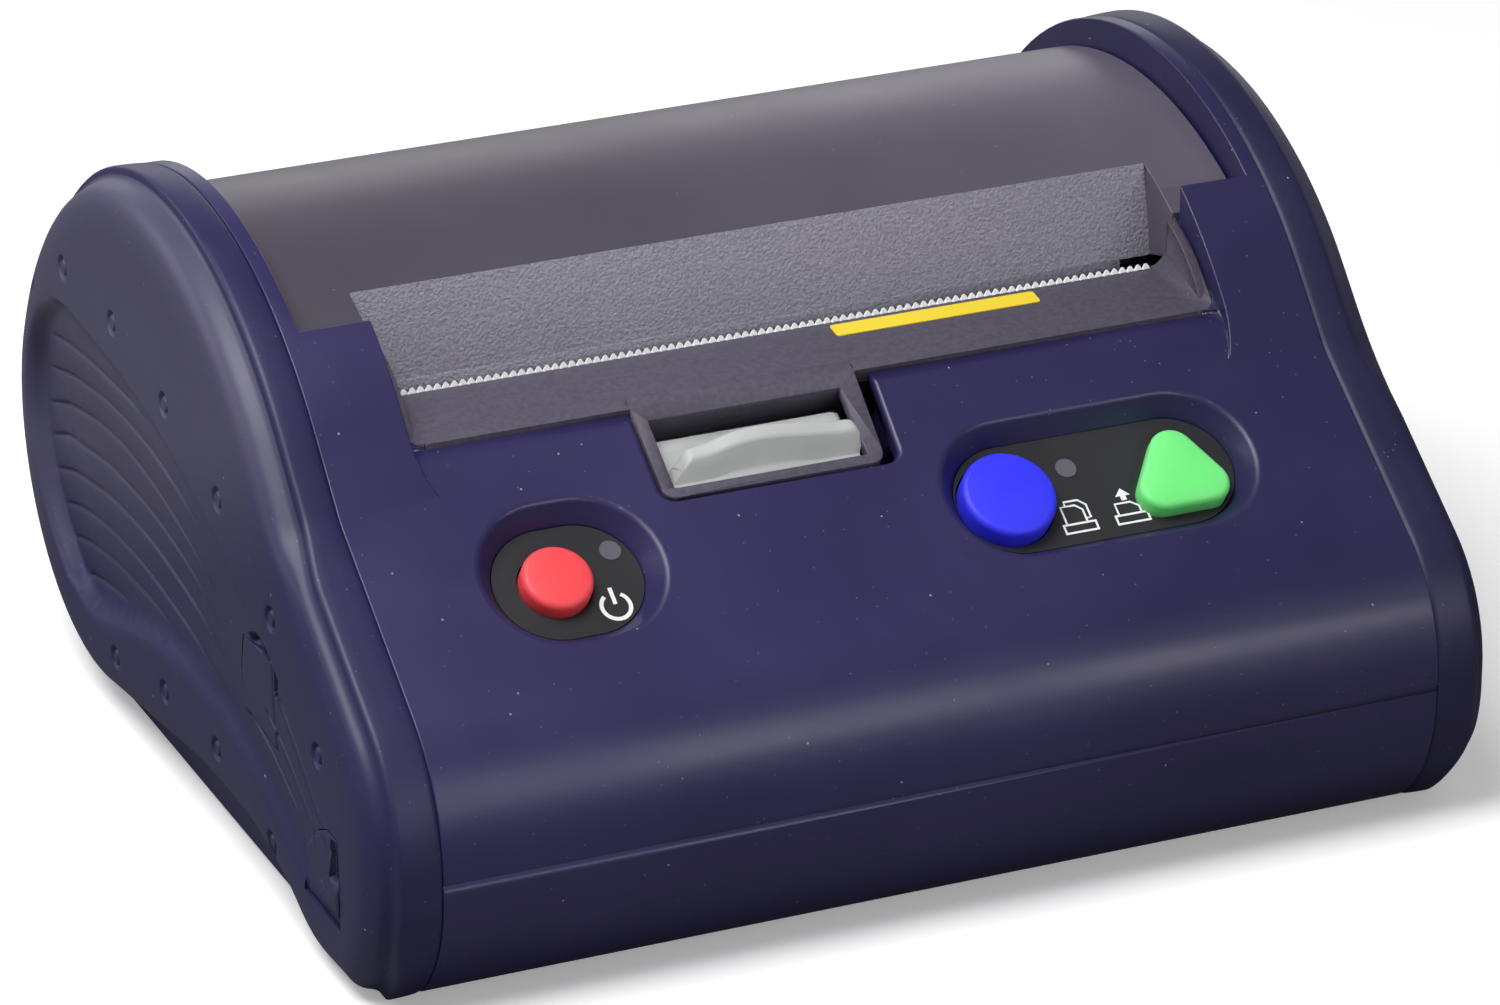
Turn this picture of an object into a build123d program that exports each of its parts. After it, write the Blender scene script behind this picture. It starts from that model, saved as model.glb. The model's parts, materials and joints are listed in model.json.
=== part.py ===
from build123d import *

import os
from math import acos, asin, cos, degrees, hypot, pi, radians, sin, tan

# Portable receipt printer. Millimetres. X runs to its right, Y to its back and Z up.
# The origin lies on the table, under the middle of the casing.
# A side profile is drawn as (Y, Z) and carried along X.
# A panel profile is drawn as (X, distance up the sloping control panel) and carried outward.

# Casing
HALF_WIDTH = 70.7
WALL = 2.2
CHEEK_INSIDE = 68.4
BASE_Z = 0.8
PARTING_Z = 20.0
BARREL_CENTRE = (13.0, 25.3)
BARREL_R = 58.0
REAR_R = 34.0
REAR_ANGLE = 21.25
PANEL_FOOT = (-56.0, 43.5)
PANEL_SLOPE = 34.29
CREASE_Y = -37.8
NOSE_R = 21.8
NOSE_TOP_ALONG_PANEL = -7.97
NOSE_FLAT = 2.5
COVER_FRONT_Y = -18.0
COVER_SILL_Z = 36.3
HEAD_FRONT_Y = -30.2
HEAD_HALF = 58.3
EAR_WALL_OUT = 60.5

# End caps
CAP_FACE_X = 80.3
CAP_SHOULDER_X = 78.2
CAP_BEAD_X = 75.3
CAP_DOME_INSET = 1.8
CAP_SKIN = 2.6

# Paper cover
COVER_HALF = 68.0
COVER_FRONT_ARC = (14.2, 15.0, 63.5)
COVER_REAR_ARC = (20.4, 30.2, 47.0)
COVER_EDGE_Y = -17.3
COVER_SKIN = 2.2
COVER_FOOT_Z = 37.6
RECESS_HALF = 57.75
RECESS_WALL_TOP = (-8.6, 73.8)
RECESS_WALL_FOOT = (-11.0, 61.8)

# Hinge of the paper cover
HINGE_Y, HINGE_Z = 67.4, 34.0
KNUCKLE_R = 3.0
PIN_R = 1.0
CASE_KNUCKLES = [(-54.0, -42.0), (-6.0, 6.0), (42.0, 54.0)]
COVER_KNUCKLES = [(-41.5, -27.0), (27.0, 41.5)]

# Paper feed
PLATEN_Y, PLATEN_Z = -7.5, 52.5
ROLLER_R = 6.0
ROLLER_HALF = 56.5
PLATEN_SHAFT_R = 2.5
BUSH_R = 4.0
BUSH_INNER_X, BUSH_OUTER_X = 59.2, 62.9
MODULE = 0.6
PLATEN_TEETH, IDLER_TEETH, PINION_TEETH = 28, 36, 14
PRESSURE_ANGLE = 20.0
BACKLASH = 0.12
GEAR_X0, GEAR_X1 = 63.2, 67.2
IDLER_ANGLE = 210.0
PINION_ANGLE = 260.0
MOTOR_R = 13.0
FRAME_X0, FRAME_X1 = 59.5, 61.0
LOCK_Y, LOCK_Z = -14.0, 39.5
LOCK_SHAFT_R = 1.5
ROLL_Y, ROLL_Z, ROLL_R = 28.0, 47.5, 26.5
ROLL_TROUGH_HALF = 56.9
BLADE_TIP_Z = 63.8
BLADE_HALF = 54.47
BLADE_TEETH = 92
BLADE_TOOTH = 1.0

# Release lever
LEVER_Y, LEVER_Z = -28.5, 44.1
LEVER_SHAFT_R = 1.5
LEVER_RIBS = (-30.2, 7.2)
WINDOW_X0, WINDOW_X1 = -25.6, 1.9
WINDOW_S0, WINDOW_S1 = 18.42, 29.15
WINDOW_WALL = 1.0
WINDOW_WALL_FOOT = -5.6
TONGUE_X0, TONGUE_X1 = -27.3, 4.7
TONGUE_S0 = 17.0
TONGUE_TOP, TONGUE_BOTTOM = -0.1, -1.7
NOTCH_X0, NOTCH_X1, NOTCH_S0 = -27.6, 6.0, 16.75
NOTCH_DEPTH = 5.0
FINGER_PLATE = (-11.85, 23.4, 26.7, 8.0)
FINGER_PLATE_TOP, FINGER_PLATE_THICK = -3.0, 1.4
LIP_X0, LIP_X1, LIP_FOOT_Z = -24.9, 1.5, 52.9
LIP_WAVE = [
    (-24.2, 56.6),
    (-20.8, 56.8),
    (-15.6, 57.7),
    (-11.8, 57.8),
    (-6.7, 57.2),
    (-1.2, 56.4),
    (1.5, 56.2),
]

# Control panel: places as (X, distance up the panel), depths measured outward from it
LENS_DEPTH = 3.0
LENS_THICK = 0.8
LENS_R = 8.3
RIM_R = 10.5
POWER_LENS = (-44.9, -41.2, 9.2)
FUNCTION_LENS = (20.4, 43.9, 9.4)
POWER_BUTTON = (-44.9, 9.1)
POWER_BUTTON_R = 4.8
REPRINT_BUTTON = (18.9, 9.0)
REPRINT_BUTTON_R = 6.5
FEED_CORNERS = [(44.0, 11.9), (47.2, 5.7), (39.8, 5.7)]
FEED_CORNER_R = 2.7
FEED_MIDDLE = (43.7, 8.0)
POWER_LED = (-36.0, 12.7)
STATUS_LED = (29.2, 12.7)
LED_R = 1.45
BUTTON_GAP = 0.25
BOARD_TOP = -12.0
BOARD_THICK = 1.6
BOARD_HALF = 58.5

# Battery, ports and screws
BATTERY_HALF = 38.0
BATTERY_Z0, BATTERY_Z1 = 3.3, 17.4
BATTERY_FRONT_Y = 5.0
BAY_GAP = 0.3
BAY_WALL = 1.2
FLAP_THICK = 1.6
FRONT_FLAP = (-60.0, -46.5, 9.5, 23.0)
REAR_FLAP = (-37.0, -22.8, 24.5, 38.0)
SCREW_PLACES = [(-64.5, -42.0), (64.5, -42.0), (-64.5, 50.0), (64.5, 50.0)]
FOOT_PLACES = [(-55.0, -52.0), (55.0, -52.0), (-55.0, 34.0), (55.0, 34.0)]
FOOT_R = 5.0

os.makedirs("parts", exist_ok=True)

UP_PANEL = (cos(radians(PANEL_SLOPE)), sin(radians(PANEL_SLOPE)))
OUT_PANEL = (-UP_PANEL[1], UP_PANEL[0])
PANEL = Plane(
    origin=(0, PANEL_FOOT[0], PANEL_FOOT[1]),
    x_dir=(1, 0, 0),
    z_dir=(0, OUT_PANEL[0], OUT_PANEL[1]),
)


def box(x0, x1, y0, y1, z0, z1):
    """Block between two corners."""
    middle = Pos((x0 + x1) / 2, (y0 + y1) / 2, (z0 + z1) / 2)
    return middle * Box(x1 - x0, y1 - y0, z1 - z0)


def poly(*points):
    """Flat face with straight edges."""
    return make_face(Polyline(*points, close=True))


def slab(profile, x0, x1):
    """Side profile carried along X."""
    return extrude(Plane.YZ.offset(x0) * profile, amount=x1 - x0)


def rod(y, z, radius, x0, x1):
    """Round bar along X."""
    return slab(Pos(y, z) * Circle(radius), x0, x1)


def both_sides(piece):
    """A piece and its mirror image on the other side."""
    return piece + mirror(piece, about=Plane.YZ)


def arc(centre, radius, start, end):
    """Arc about a centre from one polar angle to another, in degrees."""
    return CenterArc(centre, radius, start, end - start)


def polar(centre, radius, angle):
    """Point at a polar angle about a centre."""
    return (centre[0] + radius * cos(radians(angle)), centre[1] + radius * sin(radians(angle)))


def panel_point(along, out):
    """Side-view point at a distance up the panel and outward from it."""
    return (
        PANEL_FOOT[0] + along * UP_PANEL[0] + out * OUT_PANEL[0],
        PANEL_FOOT[1] + along * UP_PANEL[1] + out * OUT_PANEL[1],
    )


def on_panel(profile, out0, out1):
    """Panel profile carried between two depths."""
    return extrude(PANEL.offset(out0) * profile, amount=out1 - out0)


def panel_edges(shape, x0, x1, along0, along1):
    """Edges of a shape that lie in the panel's plane, within a window of it."""
    found = []
    for edge in shape.edges():
        points = [PANEL.to_local_coords(edge @ t) for t in (0.0, 0.5, 1.0)]
        inside = [x0 < p.X < x1 and along0 < p.Y < along1 for p in points]
        if all(inside) and max(abs(p.Z) for p in points) < 0.01:
            found.append(edge)
    return found


def stadium(place, radius):
    """Panel profile: a slot with round ends."""
    x0, x1, along = place
    return Pos((x0 + x1) / 2, along) * SlotCenterToCenter(x1 - x0, 2 * radius)


def save(name, shape):
    """One file for one sub-part."""
    export_step(shape, f"parts/{name}.step")


# Where the profile's arcs meet
REAR_CENTRE = polar(BARREL_CENTRE, BARREL_R - REAR_R, REAR_ANGLE)
NOSE_CENTRE = panel_point(NOSE_TOP_ALONG_PANEL, -NOSE_R)
NOSE_LOW_CENTRE = (NOSE_CENTRE[0], NOSE_CENTRE[1] - NOSE_FLAT)
CREASE = panel_point((CREASE_Y - PANEL_FOOT[0]) / UP_PANEL[0], 0.0)
CREASE_REACH = hypot(CREASE[0] - BARREL_CENTRE[0], CREASE[1] - BARREL_CENTRE[1])
EAR_ANGLE = 180 - degrees(asin((CREASE[1] - BARREL_CENTRE[1]) / CREASE_REACH))
EAR_ANGLE = EAR_ANGLE - degrees(acos(BARREL_R / CREASE_REACH))
OUT_EAR = (cos(radians(EAR_ANGLE)), sin(radians(EAR_ANGLE)))


def inset_crease(inset):
    """Crease between panel and ear on an outline moved inward by inset."""
    turn = 1 + OUT_PANEL[0] * OUT_EAR[0] + OUT_PANEL[1] * OUT_EAR[1]
    return (
        CREASE[0] - inset * (OUT_PANEL[0] + OUT_EAR[0]) / turn,
        CREASE[1] - inset * (OUT_PANEL[1] + OUT_EAR[1]) / turn,
    )


def case_outline(inset):
    """Side outline of the casing, moved inward by inset."""
    floor = BASE_Z + inset
    nose_r = NOSE_R - inset
    rear_r = REAR_R - inset
    barrel_r = BARREL_R - inset
    crease = inset_crease(inset)
    nose_foot = 180 + degrees(asin((NOSE_LOW_CENTRE[1] - floor) / nose_r))
    rear_foot = -degrees(asin((REAR_CENTRE[1] - floor) / rear_r))
    panel_angle = 90 + PANEL_SLOPE
    edges = [
        Line(crease, polar(NOSE_CENTRE, nose_r, panel_angle)),
        arc(NOSE_CENTRE, nose_r, panel_angle, 180),
        Line(polar(NOSE_CENTRE, nose_r, 180), polar(NOSE_LOW_CENTRE, nose_r, 180)),
        arc(NOSE_LOW_CENTRE, nose_r, 180, nose_foot),
        Line(polar(NOSE_LOW_CENTRE, nose_r, nose_foot), polar(REAR_CENTRE, rear_r, rear_foot)),
        arc(REAR_CENTRE, rear_r, rear_foot, REAR_ANGLE),
        arc(BARREL_CENTRE, barrel_r, REAR_ANGLE, EAR_ANGLE),
        Line(polar(BARREL_CENTRE, barrel_r, EAR_ANGLE), crease),
    ]
    return make_face(edges)


def cap_outline(inset):
    """Side outline of an end cap's domed face, hollowed underneath, moved inward by inset."""
    rise = inset - CAP_DOME_INSET
    nose_r = NOSE_R - inset
    top_r = BARREL_R - inset
    crease = inset_crease(inset)
    rear_r = 31.0 - rise
    rear_centre = polar(BARREL_CENTRE, top_r - rear_r, REAR_ANGLE)
    rear_foot = -100.0
    nose_foot = 236.0
    under = [
        polar(NOSE_LOW_CENTRE, nose_r, nose_foot),
        (-48.0, 1.6 + rise),
        (-38.0, 5.3 + rise),
        (-25.0, 8.1 + rise),
        (-6.0, 8.2 + rise),
        (12.0, 6.2 + rise),
        polar(rear_centre, rear_r, rear_foot),
    ]
    edges = [
        Line(crease, polar(NOSE_CENTRE, nose_r, 90 + PANEL_SLOPE)),
        arc(NOSE_CENTRE, nose_r, 90 + PANEL_SLOPE, 180),
        Line(polar(NOSE_CENTRE, nose_r, 180), polar(NOSE_LOW_CENTRE, nose_r, 180)),
        arc(NOSE_LOW_CENTRE, nose_r, 180, nose_foot),
        Spline(*under),
        arc(rear_centre, rear_r, rear_foot, REAR_ANGLE),
        arc(BARREL_CENTRE, top_r, REAR_ANGLE, EAR_ANGLE),
        Line(polar(BARREL_CENTRE, top_r, EAR_ANGLE), crease),
    ]
    return make_face(edges)


def above_panel(out):
    """Side profile of everything over the panel plane, from the nose to the paper cover."""
    front = panel_point(-20.0, out)
    rear_along = (COVER_FRONT_Y - PANEL_FOOT[0] - out * OUT_PANEL[0]) / UP_PANEL[0]
    rear = panel_point(rear_along, out)
    return poly(front, rear, (rear[0], 100.0), (front[0], 100.0))


def feed_triangle(radius):
    """Panel profile of the rounded three-cornered button."""
    corners = Sketch() + [Pos(x, s) * Circle(radius) for x, s in FEED_CORNERS]
    return make_hull(corners.edges())


def screw_boss(x, y, radius, z0, z1):
    """Screw boss with a web to the casing's side wall."""
    side = 1 if x > 0 else -1
    post = Pos(x, y, (z0 + z1) / 2) * Cylinder(radius, z1 - z0)
    web_x = sorted((x, side * (CHEEK_INSIDE + 0.1)))
    return post + box(web_x[0], web_x[1], y - 1.0, y + 1.0, z0, z1)


def port_holes():
    """Ways through the left wall and cap to the two sockets."""
    holes = []
    for y0, y1, z0, z1 in (FRONT_FLAP, REAR_FLAP):
        holes.append(box(-CAP_FACE_X - 1, -66.0, y0 + 1.2, y1 - 1.2, z0 + 1.7, z1 - 1.2))
    return holes


# Casing halves
def lower_case():
    shell = slab(case_outline(0), -HALF_WIDTH, HALF_WIDTH)
    shell -= slab(case_outline(WALL), -CHEEK_INSIDE, CHEEK_INSIDE)
    for x, y in SCREW_PLACES:
        shell += screw_boss(x, y, 3.5, BASE_Z + 1.0, PARTING_Z)
    bay_half = BATTERY_HALF + BAY_GAP
    bay_top = BATTERY_Z1 + BAY_GAP
    bay_front = BATTERY_FRONT_Y - 1.5
    block = box(
        -bay_half - BAY_WALL, bay_half + BAY_WALL, bay_front - BAY_WALL, 80, BASE_Z + 1, bay_top + BAY_WALL
    )
    shell += block & slab(case_outline(0.5), -HALF_WIDTH, HALF_WIDTH)
    shell -= box(-bay_half, bay_half, bay_front, 80, BASE_Z + WALL, bay_top)
    for x, y in SCREW_PLACES:
        shell -= Pos(x, y, 10) * Cylinder(1.6, 30)
        shell -= Pos(x, y, 1.8) * Cylinder(2.9, 3.6)
    for hole in port_holes():
        shell -= hole
    shell -= box(-90, 90, -90, 90, PARTING_Z, 100)
    return shell


def head_opening(half, front):
    """Space of the head cover, with rounded front corners."""
    space = box(-half, half, front, COVER_FRONT_Y, 50, 72)
    return fillet(space.edges().filter_by(Axis.Z).group_by(Axis.Y)[0], 2.5)


def upper_case():
    shell = slab(case_outline(0), -HALF_WIDTH, HALF_WIDTH)
    cavity = slab(case_outline(WALL), -CHEEK_INSIDE, CHEEK_INSIDE)
    cavity -= slab(above_panel(-WALL), -EAR_WALL_OUT, EAR_WALL_OUT)
    shell -= cavity
    for place in (POWER_LENS, FUNCTION_LENS):
        shell += on_panel(stadium(place, RIM_R + 1.0), -LENS_DEPTH - LENS_THICK - 2.0, -1.0)
    for x0 in LEVER_RIBS:
        rib = poly((-37.0, 54.6), (-32.5, 57.6), (-25.3, 47.0), (-25.3, 41.4), (-31.4, 41.4))
        shell += slab(rib, x0, x0 + 1.5)
    for x, y in SCREW_PLACES:
        top = 46.0 if y < 0 else 33.0
        shell += screw_boss(x, y, 3.3, PARTING_Z, top)
    shell -= box(-90, 90, -90, 90, -10, PARTING_Z)
    # Cover opening, then the step down from the ears to the head cover
    shell -= box(-CHEEK_INSIDE, CHEEK_INSIDE, COVER_FRONT_Y, 90, COVER_SILL_Z, 110)
    ear_edge = make_face(
        [
            Line((-58.4, 0.0), (-58.4, -31.0)),
            ThreePointArc((-58.4, -31.0), (-57.5, -35.4), (-55.4, -38.6)),
            Line((-55.4, -38.6), (0.0, -38.6)),
            Line((0.0, -38.6), (0.0, 0.0)),
            Line((0.0, 0.0), (-58.4, 0.0)),
        ]
    )
    step = extrude(Plane.XY.offset(30) * ear_edge, amount=80) & slab(above_panel(0), -90, 0)
    shell -= both_sides(step)
    shell -= head_opening(HEAD_HALF, HEAD_FRONT_Y)
    ledge = poly((-32.4, 59.59), (HEAD_FRONT_Y, 60.5), (HEAD_FRONT_Y, 63.0), (-32.4, 63.0))
    shell -= slab(ledge, -HEAD_HALF, HEAD_HALF)
    notch = poly((NOTCH_X0, NOTCH_S0), (NOTCH_X1, NOTCH_S0), (NOTCH_X1 + 1, 36.0), (NOTCH_X0, 36.0))
    notch = fillet(notch.vertices().group_by(Axis.Y)[0], 2.0)
    shell -= on_panel(notch, -NOTCH_DEPTH, 2.0)
    shell = fillet(panel_edges(shell, NOTCH_X0 - 0.5, NOTCH_X1 + 1.5, NOTCH_S0 - 0.8, 27.0), 0.8)
    # Bowls and button holes
    bowl_taper = degrees(asin((RIM_R - LENS_R) / hypot(RIM_R - LENS_R, LENS_DEPTH)))
    for place in (POWER_LENS, FUNCTION_LENS):
        shell -= on_panel(stadium(place, LENS_R + 0.1), -LENS_DEPTH - LENS_THICK, -LENS_DEPTH)
        bowl = extrude(
            PANEL.offset(-LENS_DEPTH) * stadium(place, LENS_R + 0.1), amount=LENS_DEPTH, taper=-bowl_taper
        )
        shell -= bowl
        x0, x1, along = place
        reach = RIM_R + 1.0
        shell = fillet(panel_edges(shell, x0 - reach, x1 + reach, along - reach, along + reach), 1.2)
    for profile in control_holes():
        shell -= on_panel(profile, -8.0, 2.0)
    # Hinge knuckles and the gaps between them
    for x0, x1 in CASE_KNUCKLES:
        root = box(x0, x1, HINGE_Y - 1.9, HINGE_Y + 2.3, HINGE_Z - 5, HINGE_Z)
        shell += rod(HINGE_Y, HINGE_Z, KNUCKLE_R, x0, x1) + (
            root & slab(case_outline(0), -HALF_WIDTH, HALF_WIDTH)
        )
    for x0, x1 in COVER_KNUCKLES:
        shell -= rod(HINGE_Y, HINGE_Z, KNUCKLE_R + 0.5, x0 - 0.5, x1 + 0.5)
    shell -= rod(HINGE_Y, HINGE_Z, PIN_R, -56, 56)
    shell -= rod(LEVER_Y, LEVER_Z, LEVER_SHAFT_R, LEVER_RIBS[0], LEVER_RIBS[1] + 1.5)
    for x, y in SCREW_PLACES:
        shell -= Pos(x, y, 20) * Cylinder(1.25, 22)
    for hole in port_holes():
        shell -= hole
    return shell


def control_holes():
    """Holes in the casing and the lenses for the buttons and light pipes."""
    return [
        Pos(*POWER_BUTTON) * Circle(POWER_BUTTON_R + BUTTON_GAP),
        Pos(*REPRINT_BUTTON) * Circle(REPRINT_BUTTON_R + BUTTON_GAP),
        feed_triangle(FEED_CORNER_R + BUTTON_GAP),
        Pos(*POWER_LED) * Circle(LED_R),
        Pos(*STATUS_LED) * Circle(LED_R),
    ]


save("lower_case", lower_case())
save("upper_case", upper_case())


# End caps, which close the casing and carry the port flaps
def end_cap():
    cap = slab(case_outline(-0.25), -CAP_BEAD_X, -HALF_WIDTH)
    cap += slab(cap_outline(CAP_DOME_INSET), -CAP_SHOULDER_X, -CAP_BEAD_X)
    cap += slab(cap_outline(CAP_DOME_INSET + 1.4), -CAP_FACE_X, -CAP_SHOULDER_X)
    cap -= slab(cap_outline(CAP_DOME_INSET + CAP_SKIN), -CAP_SHOULDER_X + 0.4, -HALF_WIDTH)
    return cap


def flap_pocket(y0, y1, z0, z1):
    """Opening in the left cap that a port flap lies in."""
    return box(-CAP_FACE_X - 1, -CAP_SHOULDER_X + 2.4, y0 - 0.3, y1 + 0.3, z0 - 0.3, z1 + 0.3)


def port_flap(y0, y1, z0, z1):
    """Rubber flap that swings out about a rounded lower edge."""
    outer_x = -CAP_FACE_X + 0.3
    axis_x = outer_x + FLAP_THICK / 2
    axis_z = z0 + FLAP_THICK / 2
    plate = box(outer_x, outer_x + FLAP_THICK, y0, y1, axis_z, z1)
    edge = Pos(axis_x, (y0 + y1) / 2, axis_z) * Rot(90, 0, 0) * Cylinder(FLAP_THICK / 2, y1 - y0)
    return plate + edge


save("right_end_cap", mirror(end_cap(), about=Plane.YZ))
save("left_end_cap", end_cap() - flap_pocket(*FRONT_FLAP) - flap_pocket(*REAR_FLAP))
save("dc_port_flap", port_flap(*FRONT_FLAP))
save("usb_port_flap", port_flap(*REAR_FLAP))

# Sockets behind the flaps
jack = box(-77.5, -62.5, -58.0, -48.5, 11.6, 21.4)
jack -= Pos(-74, -53.25, 16.5) * Rot(0, 90, 0) * Cylinder(3.0, 14)
jack += Pos(-72, -53.25, 16.5) * Rot(0, 90, 0) * Cylinder(0.9, 10)
save("dc_jack", jack)
usb = box(-77.5, -62.5, -35.0, -25.0, 27.0, 35.0)
usb -= box(-78, -68, -33.4, -26.6, 29.2, 32.8)
usb += box(-76.5, -67, -32.2, -27.8, 30.6, 31.4)
save("usb_port", usb)


# Paper cover
def cover_outline(inset):
    """Side outline of the cover's skin, closed across its foot."""
    y1, z1, r1 = COVER_FRONT_ARC
    y2, z2, r2 = COVER_REAR_ARC
    join = degrees(asin((z2 - z1) / hypot(y2 - y1, z2 - z1)))
    rear_centre = polar((y1, z1), r1 - r2, join)
    front = 180 - degrees(acos((y1 - COVER_EDGE_Y + 4) / (r1 - inset)))
    foot = degrees(asin((COVER_FOOT_Z - rear_centre[1]) / (r2 - inset)))
    top = polar((y1, z1), r1 - inset, front)
    end = polar(rear_centre, r2 - inset, foot)
    edges = [
        arc((y1, z1), r1 - inset, front, join),
        arc(rear_centre, r2 - inset, join, foot),
        Line(end, (end[0] - 20, COVER_FOOT_Z)),
        Line((end[0] - 20, COVER_FOOT_Z), (top[0], 40.0)),
        Line((top[0], 40.0), top),
    ]
    return make_face(edges)


def paper_cover():
    solid = slab(cover_outline(0), -COVER_HALF, COVER_HALF)
    inside = cover_outline(COVER_SKIN)
    cover = solid - slab(inside, -COVER_HALF, COVER_HALF)
    ribs = slab(inside, -COVER_HALF, -COVER_HALF + 1.8) - slab(cover_outline(6.0), -90, 90)
    for x0 in (-51.0, -1.0, 49.0):
        ribs += slab(inside, x0, x0 + 2) - slab(cover_outline(4.5), -90, 90)
    cover += both_sides(ribs)
    # Recess over the paper slot: a textured wall with returns at its ends
    top, foot = RECESS_WALL_TOP, RECESS_WALL_FOOT
    before = poly((-40, 58.0), (foot[0] - 0.76, 58.0), foot, top, (top[0] + 1.0, 78.8), (-40, 78.8))
    cover -= slab(before, -RECESS_HALF, RECESS_HALF)
    wall = poly(foot, (foot[0] + 2.0, foot[1] - 0.4), (top[0] + 2.2, top[1] + 3), (top[0], top[1] + 3), top)
    cover += slab(wall, -RECESS_HALF - 2, RECESS_HALF + 2) & solid
    side = poly((COVER_EDGE_Y, 80), (COVER_EDGE_Y, 63.7), (foot[0], foot[1]), (top[0] + 2, top[1] + 3), (0, 80))
    cheek = slab(side, -RECESS_HALF - 2, -RECESS_HALF) & solid
    end_plate = box(-COVER_HALF, -RECESS_HALF, COVER_EDGE_Y, COVER_EDGE_Y + 2, 63.7, 90) & solid
    cover += both_sides(cheek + end_plate)
    # Posts that carry the platen holder
    for x0 in (-51.0, -1.0, 49.0):
        cover += box(x0, x0 + 2, -9.0, 0.5, 61.2, 90) & solid
    cover -= slab(before, -RECESS_HALF, RECESS_HALF)
    cover -= box(-90, 90, -60, COVER_EDGE_Y, 40, 90)
    # Hinge arms
    for x0, x1 in COVER_KNUCKLES:
        cover += box(x0, x1, HINGE_Y - 2.4, HINGE_Y - 0.2, HINGE_Z, HINGE_Z + 5)
        cover += rod(HINGE_Y, HINGE_Z, KNUCKLE_R, x0, x1)
    return cover - rod(HINGE_Y, HINGE_Z, PIN_R + 0.06, -60, 60)


save("paper_cover", paper_cover())
save("hinge_pin", rod(HINGE_Y, HINGE_Z, PIN_R, -55.0, 55.0))


# Head cover: the grey piece ahead of the paper slot, with the lever's window
def head_cover():
    plate = poly((-17.8, 62.9), (-30.05, 61.1), (-30.05, 59.3), (-17.8, 61.1))
    cover = slab(plate, -HEAD_HALF + 0.3, HEAD_HALF - 0.3)
    cover &= head_opening(HEAD_HALF - 0.3, HEAD_FRONT_Y + 0.15)
    rim = make_face(
        [
            ThreePointArc((-17.8, 69.4), (-23.6, 66.3), (-28.3, 61.3)),
            Line((-28.3, 61.3), (-28.3, 59.6)),
            Line((-28.3, 59.6), (-17.8, 61.1)),
            Line((-17.8, 61.1), (-17.8, 69.4)),
        ]
    )
    cover += both_sides(slab(rim, -HEAD_HALF + 0.3, -HEAD_HALF + 1.6))
    cover += box(-56, 56, -19.9, -17.8, 55.0, 61.6)
    tongue = poly(
        (TONGUE_X0, TONGUE_S0), (TONGUE_X1 - 0.7, TONGUE_S0), (TONGUE_X1, 33.0), (TONGUE_X0, 33.0)
    )
    tongue = fillet(tongue.vertices().group_by(Axis.Y)[0], 1.7)
    window = poly(
        (WINDOW_X0, WINDOW_S0), (WINDOW_X1, WINDOW_S0), (WINDOW_X1, WINDOW_S1), (WINDOW_X0, WINDOW_S1)
    )
    cover += on_panel(tongue, TONGUE_BOTTOM, TONGUE_TOP)
    cover -= on_panel(window, TONGUE_BOTTOM - 1, TONGUE_TOP + 1)
    wall = poly(
        (WINDOW_X0 - WINDOW_WALL, WINDOW_S1),
        (WINDOW_X1 + WINDOW_WALL, WINDOW_S1),
        (WINDOW_X1 + WINDOW_WALL, WINDOW_S1 + WINDOW_WALL),
        (WINDOW_X0 - WINDOW_WALL, WINDOW_S1 + WINDOW_WALL),
    )
    cover += on_panel(wall, WINDOW_WALL_FOOT, TONGUE_BOTTOM)
    for x0, x1 in ((-56.0, -30.0), (8.0, 56.0)):
        lip = poly((x0, 28.0), (x1, 28.0), (x1, 33.0), (x0, 33.0))
        cover += on_panel(lip, -3.7, -2.3)
    return cover


save("head_cover", head_cover())


# Tear blade with its row of teeth
def tear_blade():
    pitch = 2 * BLADE_HALF / BLADE_TEETH
    root_z = BLADE_TIP_Z - BLADE_TOOTH
    points = [(-BLADE_HALF, 57.0), (-BLADE_HALF, root_z)]
    for i in range(BLADE_TEETH):
        left = -BLADE_HALF + i * pitch
        points.append((left + pitch / 2, BLADE_TIP_Z))
        points.append((left + pitch, root_z))
    points.append((BLADE_HALF, 57.0))
    return extrude(Plane.XZ.offset(17.3) * poly(*points), amount=0.5)


save("tear_blade", tear_blade())

# Blank strip on the head cover
strip_slope = (62.9 - 61.1) / (30.05 - 17.8)
strip = poly(
    (-22.3, 62.9 - 4.5 * strip_slope),
    (-19.5, 62.9 - 1.7 * strip_slope),
    (-19.5, 63.05 - 1.7 * strip_slope),
    (-22.3, 63.05 - 4.5 * strip_slope),
)
save("index_strip", slab(strip, 6.2, 36.2))


# Control panel pieces
def lens(place):
    """Dark panel in the bottom of a bowl."""
    cover = on_panel(stadium(place, LENS_R), -LENS_DEPTH - LENS_THICK, -LENS_DEPTH)
    for hole in control_holes():
        cover -= on_panel(hole, -8.0, 2.0)
    return cover


def button(head, flange, place, top):
    """Key with a flange that keeps it in the casing and a stem for its switch."""
    key = on_panel(head, -6.3, top)
    key = fillet(key.faces().sort_by(Axis((0, 0, 0), PANEL.z_dir))[-1].edges(), 0.4)
    key += on_panel(flange, -7.3, -6.3)
    return key + on_panel(Pos(*place) * Circle(1.5), -9.1, -7.3)


def light_pipe(place):
    """LED on the board with its pipe up to the lens."""
    pipe = on_panel(Pos(*place) * Circle(LED_R), -6.5, -LENS_DEPTH + 0.1)
    return pipe + on_panel(Pos(*place) * Circle(1.2), BOARD_TOP, -6.5)


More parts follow.
